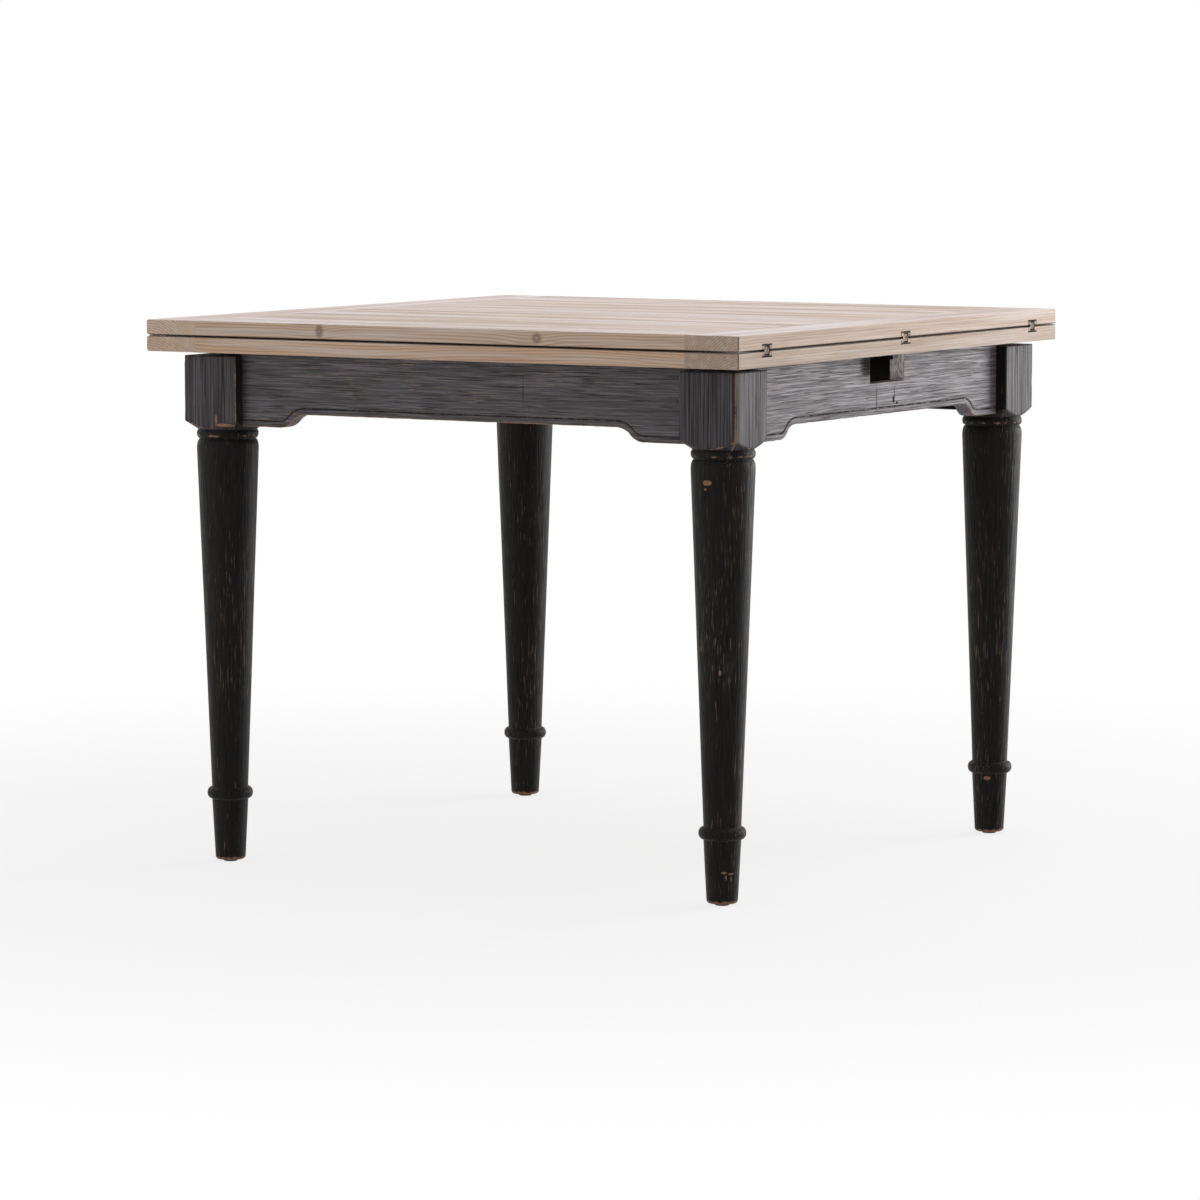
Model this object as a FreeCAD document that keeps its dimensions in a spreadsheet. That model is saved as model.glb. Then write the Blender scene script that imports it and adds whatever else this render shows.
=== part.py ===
import FreeCAD, Part
import math
import os
import re

import Sketcher
from FreeCAD import Placement, Rotation, Vector

# Extending flip-top dining table: a square base on four turned legs carries two square leaves that lie
# folded on each other. The top slides to the left on a runner until its hinged edge is over the middle
# of the base, and the upper leaf then turns over on three link hinges to lie level beside the lower one.
# Millimetres, +Z up, +X towards the hinged edge. The origin is on the floor under the middle of the
# folded top.

SIZES = {
    # Folded top
    "leaf_length": 950,
    "leaf_width": 950,
    "lower_thickness": 21.5,
    "upper_thickness": 21,
    "leaf_gap": 2,
    "breadboard_width": 82,
    "plank_count": 7,
    "tongue_length": 18,
    "tongue_thickness": 7,
    "tongue_setback": 25,
    "hinge_arris": 1.5,
    "free_arris": 3.5,
    "side_arris": 1.2,
    "joint_fit": 0.2,
    # Base
    "base_shift": 10,
    "apron_top": 724,
    "end_overhang": 75,
    "leg_spacing": 800,
    "leg_block": 88,
    "block_drop": 6,
    "block_depth": 108.5,
    "block_arris": 1.2,
    "shoulder_rise": 11.5,
    "shoulder_drop": 4,
    "inner_chamfer": 14,
    # Turned part of a leg
    "neck_diameter": 77,
    "bead_diameter": 87,
    "bead_drop": 8,
    "bead_height": 14,
    "shaft_top_diameter": 87,
    "shaft_shoulder": 13,
    "shaft_foot_diameter": 51,
    "ring_diameter": 64.5,
    "ring_level": 98,
    "ring_height": 17,
    "foot_diameter": 42.5,
    "foot_round": 4,
    "glide_diameter": 20,
    "glide_thickness": 3,
    "glide_edge": 1.2,
    "nail_diameter": 3,
    "nail_length": 16,
    # Aprons
    "apron_setback": 16,
    "apron_thickness": 22,
    "apron_depth": 104,
    "apron_foot": 63,
    "ogee_length": 42,
    "ogee_rise": 19,
    "bead_line_offset": 8,
    "bead_line_width": 1.8,
    "bead_line_depth": 1.2,
    "notch_width": 102,
    "notch_depth": 41,
    "notch_shift": 15,
    # Corner braces and their fasteners
    "brace_gap": 12,
    "brace_thickness": 28,
    "brace_height": 60,
    "brace_drop": 52,
    "bolt_diameter": 8,
    "bolt_bite": 42,
    "bolt_end": 5,
    "bolt_dome": 1.5,
    "nut_width": 13,
    "nut_height": 6.5,
    "washer_diameter": 24,
    "washer_thickness": 2,
    "screw_pitch": 30,
    "screw_diameter": 4,
    "screw_head": 8,
    "screw_head_height": 3,
    "screw_length": 26,
    "screw_bite": 12,
    # Slide
    "runner_length": 690,
    "runner_setback": 16,
    "runner_screw_margin": 60,
    "runner_screw_count": 4,
    "stem_width": 72,
    "flange_width": 100,
    "flange_thickness": 14,
    "lip_thickness": 11.5,
    "lip_clearance": 0.5,
    "side_clearance": 1,
    "rail_relief": 0.5,
    "rail_height": 33.5,
    "rail_thickness": 24,
    "rail_clearance": 6,
    "housing_depth": 5,
    "stop_length": 20,
    "stop_width": 40,
    "stop_height": 24,
    "stop_spread": 140,
    "stop_clearance": 0.3,
    # Link hinges
    "hinge_spread": 398,
    "cup_width": 28,
    "cup_depth": 14,
    "cup_height": 6.6,
    "mortise_height": 8,
    "pin_inset": 3,
    "pin_diameter": 2.4,
    "pin_length": 23,
    "pin_clearance": 0.05,
    "link_width": 13,
    "link_radius": 2.5,
    "slot_clearance": 0.3,
}

# Places and sizes that follow from the driving dimensions
DERIVED = {
    "lower_top": "apron_top + lower_thickness",
    "upper_bottom": "lower_top + leaf_gap",
    "panel_length": "leaf_length - 2 * breadboard_width",
    "plank_width": "leaf_width / plank_count",
    "leg_across": "leaf_length / 2 - end_overhang",
    "leg_along": "leg_spacing / 2",
    "block_half": "leg_block / 2",
    "block_diagonal": "leg_block / sqrt(2)",
    "block_top": "apron_top - block_drop",
    "block_bottom": "apron_top - block_depth",
    "bead_level": "block_bottom - bead_drop",
    "shoulder_slope": "shoulder_rise / (block_diagonal - block_half)",
    "face_reach": "block_half - apron_setback",
    "end_face": "leg_across + face_reach",
    "end_inner": "end_face - apron_thickness",
    "side_face": "leg_along + face_reach",
    "side_inner": "side_face - apron_thickness",
    "apron_bottom": "apron_top - apron_depth",
    "ogee_radius": "(ogee_length ^ 2 + ogee_rise ^ 2) / (4 * ogee_rise)",
    "brace_level": "apron_top - brace_drop",
    "brace_reach": "face_reach - apron_thickness",
    "brace_outer": "block_diagonal - inner_chamfer + brace_gap",
    "brace_inner": "brace_outer + brace_thickness",
    "brace_middle": "brace_outer + brace_thickness / 2",
    "brace_run": "sqrt(2) * brace_middle + brace_reach",
    "bolt_start": "block_diagonal - inner_chamfer - bolt_bite",
    "bolt_length": "brace_inner - bolt_start + washer_thickness + nut_height + bolt_end",
    "screw_seat": "screw_length - screw_bite",
    "rail_top": "apron_top - rail_relief",
    "lip_bottom": "rail_top - lip_thickness",
    "lip_inner": "stem_width / 2 + side_clearance",
    "rail_inner": "flange_width / 2 + rail_clearance",
    "rail_outer": "rail_inner + rail_thickness",
    "rail_bottom": "rail_top - rail_height",
    "flange_top": "lip_bottom - lip_clearance",
    "flange_bottom": "flange_top - flange_thickness",
    "runner_middle": "base_shift - end_inner + runner_setback + runner_length / 2",
    "runner_pitch": "(runner_length - 2 * runner_screw_margin) / (runner_screw_count - 1)",
    "slide_travel": "leaf_length / 2 + leaf_gap / 2 - base_shift",
    "stop_reach": "end_inner - stop_clearance - stop_length / 2",
    "closed_stop": "base_shift + stop_reach",
    "open_stop": "base_shift - stop_reach + slide_travel",
    "link_length": "2 * pin_inset + leaf_gap",
    "slot_reach": "pin_inset + link_radius + slot_clearance",
    "pin_bore": "pin_diameter + 2 * pin_clearance",
    "screw_bore": "screw_diameter + 2 * joint_fit",
    "head_bore": "screw_head + 2 * joint_fit",
    "bolt_bore": "bolt_diameter + 2 * joint_fit",
}

WORD = re.compile(r"[a-z][a-z_]*")
SAME_PLACE = 1e-6
LEFT = 1
RIGHT = -1
UP = Vector(0, 0, 1)

doc = FreeCAD.newDocument("flip_top_table")
sheet = doc.addObject("Spreadsheet::Sheet", "Sizes")
for row, (name, size) in enumerate(SIZES.items(), start=1):
    sheet.set(f"A{row}", name)
    sheet.set(f"B{row}", str(size))
    sheet.setAlias(f"B{row}", name)
doc.recompute()

nodes = []


# Expressions and sketches

def bound(expression):
    """Return the expression with every size pointing at its cell."""
    def point(match):
        word = match.group()
        if word in SIZES:
            return f"Sizes.{word}"
        if word in DERIVED:
            return f"({bound(DERIVED[word])})"
        return word
    return WORD.sub(point, expression)


def value(expression):
    """Return what an expression of sizes comes to, in millimetres."""
    return float(sheet.evalExpression(bound(expression)))


def count(name):
    """Return how many of a repeated piece there are."""
    return round(value(name))


def negative(expression):
    """Return the expression with its sign turned."""
    return expression if expression == "0" else f"-({expression})"


def signed(side, expression):
    """Return the expression on the positive or the negative side of zero."""
    return expression if side > 0 else negative(expression)


def place(item, across="0", along="0", up="0", turn=None):
    """Bind an object's place to the sizes, after an optional turn."""
    item.Placement = Placement(Vector(), turn or Rotation())
    for axis, expression in zip("xyz", (across, along, up)):
        if expression != "0":
            item.setExpression(f"Placement.Base.{axis}", bound(expression))


def about_z(degrees):
    """Return a turn about the upright axis."""
    return Rotation(UP, degrees)


def new_body(label):
    """Start a solid piece of the table."""
    body = doc.addObject("PartDesign::Body", label)
    body.Label = label
    return body


def new_sketch(body, plane, across="0", up="0", out="0", turn=0):
    """Attach an empty sketch to one of the body's own planes."""
    sketch = body.newObject("Sketcher::SketchObject", "outline")
    origin_plane = next(item for item in body.Origin.OriginFeatures if item.Role == plane)
    sketch.AttachmentSupport = [(origin_plane, "")]
    sketch.MapMode = "FlatFace"
    sketch.AttachmentOffset = Placement(Vector(), Rotation(Vector(0, 1, 0), turn))
    for axis, expression in zip("xyz", (across, up, out)):
        if expression != "0":
            sketch.setExpression(f"AttachmentOffset.Base.{axis}", bound(expression))
    return sketch


def pin_point(sketch, geometry, point, across, up):
    """Tie a point of a sketch to the sizes that place it."""
    for kind, axis, expression in (("DistanceX", -2, across), ("DistanceY", -1, up)):
        if expression == "0":
            sketch.addConstraint(Sketcher.Constraint("PointOnObject", geometry, point, axis))
            continue
        tie = Sketcher.Constraint(kind, -1, 1, geometry, point, value(expression))
        index = sketch.addConstraint(tie)
        sketch.setExpression(f"Constraints[{index}]", bound(expression))


def draw(sketch, path):
    """Draw a closed path. A corner is (across, up), and a rounded way to it adds (radius, turn)."""
    corners = [Vector(value(step[0]), value(step[1]), 0) for step in path]
    ends = []
    for index, step in enumerate(path):
        start = corners[index - 1]
        end = corners[index]
        if len(step) == 2:
            geometry = sketch.addGeometry(Part.LineSegment(start, end))
            ends.append((geometry, 1, 2))
            continue
        radius_expression, turn = step[2:]
        radius = value(radius_expression)
        chord = end - start
        normal = Vector(-chord.y, chord.x, 0).normalize() * turn
        sagitta = radius - math.sqrt(max(radius ** 2 - (chord.Length / 2) ** 2, 0))
        crown = (start + end) / 2 - normal * sagitta
        geometry = sketch.addGeometry(Part.Arc(start, crown, end))
        ends.append((geometry, 1, 2) if turn == LEFT else (geometry, 2, 1))
        index_radius = sketch.addConstraint(Sketcher.Constraint("Radius", geometry, radius))
        sketch.setExpression(f"Constraints[{index_radius}]", bound(radius_expression))
    for index, (geometry, _, last) in enumerate(ends):
        following, first, _ = ends[(index + 1) % len(ends)]
        sketch.addConstraint(Sketcher.Constraint("Coincident", geometry, last, following, first))
        pin_point(sketch, geometry, last, path[index][0], path[index][1])


def backwards(path):
    """Return an open path drawn from its last corner to its first."""
    turned = [path[-1][:2]]
    for index in range(len(path) - 1, 0, -1):
        corner = path[index - 1][:2]
        rounding = path[index][2:]
        turned.append(corner + ((rounding[0], -rounding[1]) if rounding else ()))
    return turned


def rectangle(sketch, left, bottom, right, top):
    """Draw a rectangle between two corners."""
    draw(sketch, [(left, bottom), (right, bottom), (right, top), (left, top)])


def circle(sketch, across, up, diameter):
    """Draw a circle."""
    size = value(diameter)
    centre = Vector(value(across), value(up), 0)
    geometry = sketch.addGeometry(Part.Circle(centre, UP, size / 2))
    index = sketch.addConstraint(Sketcher.Constraint("Diameter", geometry, size))
    sketch.setExpression(f"Constraints[{index}]", bound(diameter))
    pin_point(sketch, geometry, 3, across, up)


# Features of a body

def pad(body, sketch, length, symmetric=False, flip=False):
    """Raise a sketch into a solid."""
    feature = body.newObject("PartDesign::Pad", "pad")
    feature.Profile = sketch
    feature.SideType = "Symmetric" if symmetric else "One side"
    feature.Reversed = flip
    feature.setExpression("Length", bound(length))
    doc.recompute()
    return feature


def cut(body, sketch, depth=None, symmetric=False, flip=False):
    """Cut a sketch out of the body, right through where no depth is given."""
    before = body.Shape.Volume
    feature = body.newObject("PartDesign::Pocket", "cut")
    feature.Profile = sketch
    feature.SideType = "Symmetric" if symmetric else "One side"
    feature.Reversed = flip
    if depth is None:
        feature.Type = "ThroughAll"
    else:
        feature.setExpression("Length", bound(depth))
    doc.recompute()
    if body.Shape.Volume >= before:
        raise ValueError(f"{body.Label}: a cut removed nothing")


def turned(body, sketch, removed=False):
    """Turn a sketch about the body's upright axis, as wood left standing or wood removed."""
    feature = body.newObject("PartDesign::Groove" if removed else "PartDesign::Revolution", "turned")
    feature.Profile = sketch
    feature.ReferenceAxis = (sketch, ["V_Axis"])
    feature.Angle = 360
    doc.recompute()


def finish(node):
    """Keep a piece of the table for export."""
    nodes.append(node)


def group(label, template, places):
    """Gather copies of one fastener, each at its place and pointing its own way, into one node."""
    copies = []
    for across, along, up, direction in places:
        copy = doc.addObject("App::Link", f"{label}_copy")
        copy.LinkedObject = template
        place(copy, across, along, up, Rotation(UP, direction))
        copies.append(copy)
    gathered = doc.addObject("Part::Compound", label)
    gathered.Label = label
    gathered.Links = copies
    finish(gathered)


# Legs: square block, turned shoulder, bead, tapered shaft, ring and foot

CORNERS = {
    "front_left": (-1, -1),
    "front_right": (1, -1),
    "back_right": (1, 1),
    "back_left": (-1, 1),
}


def leg_place(item, side, depth):
    """Set a piece at a corner of the base with its own +X towards the middle of the table."""
    inward = math.degrees(math.atan2(-depth, -side))
    across = f"base_shift + {signed(side, 'leg_across')}"
    place(item, across, signed(depth, "leg_along"), "0", about_z(inward))


def make_leg(corner, side, depth):
    """Make one leg."""
    body = new_body(f"leg_{corner}")
    block = new_sketch(body, "XY_Plane", out="block_bottom - shoulder_drop")
    far = "block_diagonal - block_arris"
    flat = "block_diagonal - inner_chamfer"
    draw(block, [
        (negative(far), "block_arris"),
        (negative(far), "-block_arris"),
        ("-block_arris", negative(far)),
        ("block_arris", negative(far)),
        (flat, "-inner_chamfer"),
        (flat, "inner_chamfer"),
        ("block_arris", far),
        ("-block_arris", far),
    ])
    pad(body, block, "block_top - block_bottom + shoulder_drop")
    shoulder = new_sketch(body, "XZ_Plane")
    outside = "block_diagonal + shoulder_drop"
    outside_level = f"block_bottom + shoulder_slope * ({outside} - block_half)"
    lowest = "block_bottom - shoulder_drop"
    draw(shoulder, [
        ("block_half - shoulder_drop / shoulder_slope", lowest),
        (outside, lowest),
        (outside, outside_level),
    ])
    turned(body, shoulder, removed=True)
    profile = new_sketch(body, "XZ_Plane")
    bead_swell = "(bead_diameter - neck_diameter) / 2"
    bead_radius = f"((bead_height / 2) ^ 2 + ({bead_swell}) ^ 2) / (2 * {bead_swell})"
    ring_swell = "(ring_diameter - shaft_foot_diameter) / 2"
    ring_radius = f"((ring_height / 2) ^ 2 + ({ring_swell}) ^ 2) / (2 * {ring_swell})"
    shoulder_in = "(shaft_top_diameter - neck_diameter) / 2"
    shoulder_radius = f"(shaft_shoulder ^ 2 + ({shoulder_in}) ^ 2) / (2 * {shoulder_in})"
    bead_bottom = "bead_level - bead_height / 2"
    draw(profile, [
        ("0", "block_bottom + shoulder_drop"),
        ("0", "glide_thickness"),
        ("foot_diameter / 2 - foot_round", "glide_thickness"),
        ("foot_diameter / 2", "glide_thickness + foot_round", "foot_round", LEFT),
        ("shaft_foot_diameter / 2", "ring_level - ring_height / 2"),
        ("shaft_foot_diameter / 2", "ring_level + ring_height / 2", ring_radius, LEFT),
        ("shaft_top_diameter / 2", f"{bead_bottom} - shaft_shoulder"),
        ("neck_diameter / 2", bead_bottom, shoulder_radius, LEFT),
        ("neck_diameter / 2", "bead_level + bead_height / 2", bead_radius, LEFT),
        ("neck_diameter / 2", "block_bottom + shoulder_drop"),
    ])
    turned(body, profile)
    bolt_hole = new_sketch(body, "YZ_Plane", out="bolt_start")
    circle(bolt_hole, "0", "brace_level", "bolt_bore")
    cut(body, bolt_hole, flip=True)
    nail_hole = new_sketch(body, "XY_Plane", out="glide_thickness")
    circle(nail_hole, "0", "0", "nail_diameter + 2 * joint_fit")
    cut(body, nail_hole, "nail_length + joint_fit", flip=True)
    leg_place(body, side, depth)
    finish(body)


def make_glide(corner, side, depth):
    """Make the domed glide that is nailed under a leg."""
    body = new_body(f"glide_{corner}")
    profile = new_sketch(body, "XZ_Plane")
    draw(profile, [
        ("0", "glide_thickness + nail_length"),
        ("0", "0"),
        ("glide_diameter / 2 - glide_edge", "0"),
        ("glide_diameter / 2", "glide_edge", "glide_edge", LEFT),
        ("glide_diameter / 2", "glide_thickness"),
        ("nail_diameter / 2", "glide_thickness"),
        ("nail_diameter / 2", "glide_thickness + nail_length"),
    ])
    turned(body, profile)
    leg_place(body, side, depth)
    finish(body)


# Aprons: ogee lower edge with an incised line above it, and a notch for the runner in the end ones

def lower_edge(half, offset):
    """Return the lower edge of half an apron's length either way, moved up square to itself."""
    shrink = f"(1 - ({offset}) / ogee_radius)"
    low = f"apron_bottom + {offset}"
    middle = f"apron_bottom + ogee_rise / 2 + ({offset}) * (1 - ogee_rise / (2 * ogee_radius))"
    high = f"apron_bottom + ogee_rise + {offset}"
    start = f"{half} - apron_foot"
    turning = f"{start} - ogee_length / 2 * {shrink}"
    inner = f"{start} - ogee_length"
    tight = f"ogee_radius - ({offset})"
    wide = f"ogee_radius + ({offset})"
    return [
        (negative(half), low),
        (negative(start), low),
        (negative(turning), middle, tight, LEFT),
        (negative(inner), high, wide, RIGHT),
        (inner, high),
        (turning, middle, wide, RIGHT),
        (start, low, tight, LEFT),
        (half, low),
    ]


def make_apron(name, degrees, notch_side=0):
    """Make one apron, and where it is an end one, its notch to one side of the middle for the runner."""
    leg, face = ("leg_along", "end_face") if notch_side else ("leg_across", "side_face")
    half = f"{leg} - block_half"
    body = new_body(f"apron_{name}")
    outline = new_sketch(body, "XZ_Plane")
    notch_middle = signed(notch_side, "notch_shift")
    top_edge = [(half, "apron_top")]
    if notch_side:
        right = f"{notch_middle} + notch_width / 2"
        left = f"{notch_middle} - notch_width / 2"
        floor = "apron_top - notch_depth"
        top_edge += [(right, "apron_top"), (right, floor), (left, floor), (left, "apron_top")]
    top_edge.append((negative(half), "apron_top"))
    draw(outline, lower_edge(half, "0") + top_edge)
    pad(body, outline, "apron_thickness", flip=True)
    line = new_sketch(body, "XZ_Plane")
    above = "bead_line_offset + bead_line_width"
    draw(line, lower_edge(half, "bead_line_offset") + backwards(lower_edge(half, above)))
    cut(body, line, "bead_line_depth")
    holes = new_sketch(body, "XZ_Plane", out="-apron_thickness")
    for side in (-1, 1):
        for level in (-1, 1):
            circle(holes, signed(side, f"{leg} - brace_run"),
                   f"brace_level + {signed(level, 'screw_pitch / 2')}", "screw_bore")
    cut(body, holes, "screw_bite + joint_fit", flip=True)
    if notch_side:
        housing = new_sketch(body, "XZ_Plane", out="-apron_thickness")
        for side in (-1, 1):
            draw(housing, rail_section(side, "joint_fit", notch_middle, open_top=True))
        cut(body, housing, "housing_depth", flip=True)
    turn = about_z(degrees)
    outward = turn.multVec(Vector(0, -1, 0))
    reach = [signed(sign, face) if abs(sign) > 0.5 else "0" for sign in (outward.x, outward.y)]
    across = "base_shift" if reach[0] == "0" else f"base_shift + {reach[0]}"
    place(body, across, reach[1], "0", turn)
    finish(body)


# Corner braces, hanger bolts, washers, nuts and screws

def make_brace(corner, side, depth):
    """Make the block that ties two aprons together behind a leg and takes its bolt."""
    body = new_body(f"corner_brace_{corner}")
    plan = new_sketch(body, "XY_Plane", out="brace_level - brace_height / 2")
    short = "brace_outer + sqrt(2) * brace_reach"
    wide = "brace_inner + sqrt(2) * brace_reach"
    draw(plan, [
        ("brace_outer", negative(short)),
        ("brace_inner", negative(wide)),
        ("brace_inner", wide),
        ("brace_outer", short),
    ])
    pad(body, plan, "brace_height")
    bolt_hole = new_sketch(body, "YZ_Plane")
    circle(bolt_hole, "0", "brace_level", "bolt_bore")
    cut(body, bolt_hole, flip=True)
    seat_across = "brace_middle + screw_seat / sqrt(2)"
    seat_along = "brace_middle + sqrt(2) * brace_reach - screw_seat / sqrt(2)"
    for end, degrees in ((-1, -45), (1, -135)):
        for bore, towards_apron in (("screw_bore", True), ("head_bore", False)):
            holes = new_sketch(body, "XZ_Plane", seat_across, "brace_level",
                               signed(-end, seat_along), degrees)
            for level in (-1, 1):
                circle(holes, "0", signed(level, "screw_pitch / 2"), bore)
            cut(body, holes, flip=towards_apron)
    leg_place(body, side, depth)
    finish(body)


def make_screw():
    """Make the wood screw that all timber joints share, its seat at zero and its tip upwards."""
    body = new_body("wood_screw")
    profile = new_sketch(body, "XZ_Plane")
    draw(profile, [
        ("0", "screw_length"),
        ("0", "-screw_head_height"),
        ("screw_head / 2", "-screw_head_height"),
        ("screw_head / 2", "0"),
        ("screw_diameter / 2", "0"),
        ("screw_diameter / 2", "screw_length - screw_diameter"),
    ])
    turned(body, profile)
    return body


def make_hanger_bolt():
    """Make the stud between a leg and its brace, starting inside the leg."""
    body = new_body("hanger_bolt")
    profile = new_sketch(body, "XZ_Plane")
    draw(profile, [
        ("0", "bolt_length"),
        ("0", "0"),
        ("bolt_diameter / 2 - bolt_dome", "0"),
        ("bolt_diameter / 2", "bolt_dome"),
        ("bolt_diameter / 2", "bolt_length - bolt_dome"),
        ("bolt_diameter / 2 - bolt_dome", "bolt_length", "bolt_dome", LEFT),
    ])
    turned(body, profile)
    return body


def make_washer():
    """Make the washer under a nut."""
    body = new_body("washer")
    ring = new_sketch(body, "XY_Plane")
    circle(ring, "0", "0", "washer_diameter")
    circle(ring, "0", "0", "bolt_bore")
    pad(body, ring, "washer_thickness")
    return body


def make_nut():
    """Make the hexagon nut."""
    body = new_body("nut")
    hexagon = new_sketch(body, "XY_Plane")
    corner = "nut_width / sqrt(3)"
    draw(hexagon, [
        (corner, "0"),
        (f"{corner} / 2", "nut_width / 2"),
        (f"-{corner} / 2", "nut_width / 2"),
        (negative(corner), "0"),
        (f"-{corner} / 2", "-nut_width / 2"),
        (f"{corner} / 2", "-nut_width / 2"),
    ])
    circle(hexagon, "0", "0", "bolt_bore")
    pad(body, hexagon, "nut_height")
    return body


def along_bolt(distance):
    """Return the places of one fastener of each corner, a distance from the leg's axis."""
    places = []
    inset = f"({distance}) / sqrt(2)"
    for side, depth in CORNERS.values():
        across = signed(side, f"leg_across - {inset}")
        along = signed(depth, f"leg_along - {inset}")
        places.append((f"base_shift + {across}", along, "brace_level", Vector(-side, -depth, 0)))
    return places


def brace_screw_places():
    """Return the place and direction of each screw that holds a brace to an apron."""
    places = []
    for side, depth in CORNERS.values():
        beside_leg = f"base_shift + {signed(side, 'leg_across - brace_run')}"
        behind_leg = signed(depth, "leg_along - brace_run")
        end_seat = f"base_shift + {signed(side, 'end_inner - screw_seat')}"
        side_seat = signed(depth, "side_inner - screw_seat")
        for level in (-1, 1):
            up = f"brace_level + {signed(level, 'screw_pitch / 2')}"
            places.append((beside_leg, side_seat, up, Vector(0, depth, 0)))
            places.append((end_seat, behind_leg, up, Vector(side, 0, 0)))
    return places


# Slide: two lipped rails in the base, and a T-shaped runner and four stops under the lower leaf

def rail_section(side, fit, middle, open_top=False):
    """Return the section of a rail, grown by a fit all round."""
    def at(distance):
        return f"{middle} + {signed(side, distance)}"
    top = f"apron_top + {fit}" if open_top else "rail_top"
    return [
        (at(f"rail_inner - {fit}"), f"rail_bottom - {fit}"),
        (at(f"rail_outer + {fit}"), f"rail_bottom - {fit}"),
        (at(f"rail_outer + {fit}"), top),
        (at(f"lip_inner - {fit}"), top),
        (at(f"lip_inner - {fit}"), f"lip_bottom - {fit}"),
        (at(f"rail_inner - {fit}"), f"lip_bottom - {fit}"),
    ]


def make_rail(name, side):
    """Make one guide rail, housed in both end aprons."""
    body = new_body(f"guide_rail_{name}")
    section = new_sketch(body, "YZ_Plane")
    draw(section, rail_section(side, "0", "0"))
    pad(body, section, "2 * (end_inner + housing_depth)", symmetric=True)
    place(body, "base_shift", "notch_shift")
    finish(body)


def runner_screw_at(index):
    """Return how far a screw lies from the middle of the runner."""
    return f"runner_screw_margin - runner_length / 2 + {index} * runner_pitch"


def make_runner():
    """Make the runner with its counterbored screw holes."""
    body = new_body("slide_runner")
    section = new_sketch(body, "YZ_Plane")
    draw(section, [
        ("flange_width / 2", "flange_bottom"),
        ("flange_width / 2", "flange_top"),
        ("stem_width / 2", "flange_top"),
        ("stem_width / 2", "apron_top"),
        ("-stem_width / 2", "apron_top"),
        ("-stem_width / 2", "flange_top"),
        ("-flange_width / 2", "flange_top"),
        ("-flange_width / 2", "flange_bottom"),
    ])
    pad(body, section, "runner_length", symmetric=True)
    for bore, upwards in (("screw_bore", True), ("head_bore", False)):
        holes = new_sketch(body, "XY_Plane", out="apron_top - screw_seat")
        for index in range(count("runner_screw_count")):
            circle(holes, runner_screw_at(index), "0", bore)
        cut(body, holes, flip=upwards)
    place(body, "runner_middle", "notch_shift")
    finish(body)


STOPS = {
    "closed_stop_front": ("closed_stop", -1),
    "closed_stop_back": ("closed_stop", 1),
    "open_stop_front": ("open_stop", -1),
    "open_stop_back": ("open_stop", 1),
}


def stop_along(depth):
    """Return where a stop lies across the table."""
    return f"notch_shift + {signed(depth, 'stop_spread')}"


def make_stop(name, across, depth):
    """Make a stop block that meets the inside of an end apron at one end of the slide."""
    body = new_body(name)
    plan = new_sketch(body, "XY_Plane", out="apron_top - stop_height")
    rectangle(plan, "-stop_length / 2", "-stop_width / 2", "stop_length / 2", "stop_width / 2")
    pad(body, plan, "stop_height")
    for bore, upwards in (("screw_bore", True), ("head_bore", False)):
        hole = new_sketch(body, "XY_Plane", out="apron_top - screw_seat")
        circle(hole, "0", "0", bore)
        cut(body, hole, flip=upwards)
    place(body, across, stop_along(depth))
    finish(body)


def under_leaf_screws():
    """Return the places of the runner's screws and of the stops' screws, in the table's frame."""
    level = "apron_top - screw_seat"
    runner = [(f"runner_middle + {runner_screw_at(index)}", "notch_shift", level, UP)
              for index in range(count("runner_screw_count"))]
    stops = [(across, stop_along(depth), level, UP) for across, depth in STOPS.values()]
    return runner, stops


# Leaves: planks between two breadboard ends, tongued into them and mortised for three hinges

HINGES = {"front": "-hinge_spread", "middle": "0", "back": "hinge_spread"}


def plank_middle(index):
    """Return where the middle of a plank lies across the leaf."""
    return f"({index} + 0.5) * plank_width - leaf_width / 2"


def pilot_holes(body, screws, across, along):
    """Drill a piece of the lower leaf for the screws that end in it, before it is set in its place."""
    box = body.Shape.BoundBox
    box.enlarge(value("screw_bore / 2"))
    spots = [(f"{screw[0]} - ({across})", f"{screw[1]} - ({along})") for screw in screws]
    spots = [spot for spot in spots if box.isInside(Vector(value(spot[0]), value(spot[1]), 0))]
    if not spots:
        return
    holes = new_sketch(body, "XY_Plane")
    for spot in spots:
        circle(holes, *spot, "screw_bore")
    cut(body, holes, "screw_bite + joint_fit", flip=True)


def make_plank(leaf, index, thickness, level, screws):
    """Make one plank of a leaf."""
    body = new_body(f"{leaf}_leaf_plank_{index + 1}")
    half = "plank_width / 2"
    outer_side = {0: -1, count("plank_count") - 1: 1}.get(index, 0)
    section = new_sketch(body, "YZ_Plane")
    if outer_side:
        outer = signed(outer_side, half)
        eased = signed(outer_side, f"{half} - side_arris")
        inner = signed(-outer_side, half)
        bend = LEFT if outer_side > 0 else RIGHT
        draw(section, [
            (inner, "0"),
            (eased, "0"),
            (outer, "side_arris", "side_arris", bend),
            (outer, f"{thickness} - side_arris"),
            (eased, thickness, "side_arris", bend),
            (inner, thickness),
        ])
    else:
        rectangle(section, negative(half), "0", half, thickness)
    pad(body, section, "panel_length", symmetric=True)
    tongue = new_sketch(body, "YZ_Plane")
    left = negative(half if outer_side >= 0 else f"{half} - tongue_setback")
    right = half if outer_side <= 0 else f"{half} - tongue_setback"
    rectangle(tongue, left, f"({thickness} - tongue_thickness) / 2",
              right, f"({thickness} + tongue_thickness) / 2")
    pad(body, tongue, "panel_length + 2 * tongue_length", symmetric=True)
    middle = plank_middle(index)
    pilot_holes(body, screws, "0", middle)
    place(body, "0", middle, level)
    finish(body)


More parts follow.
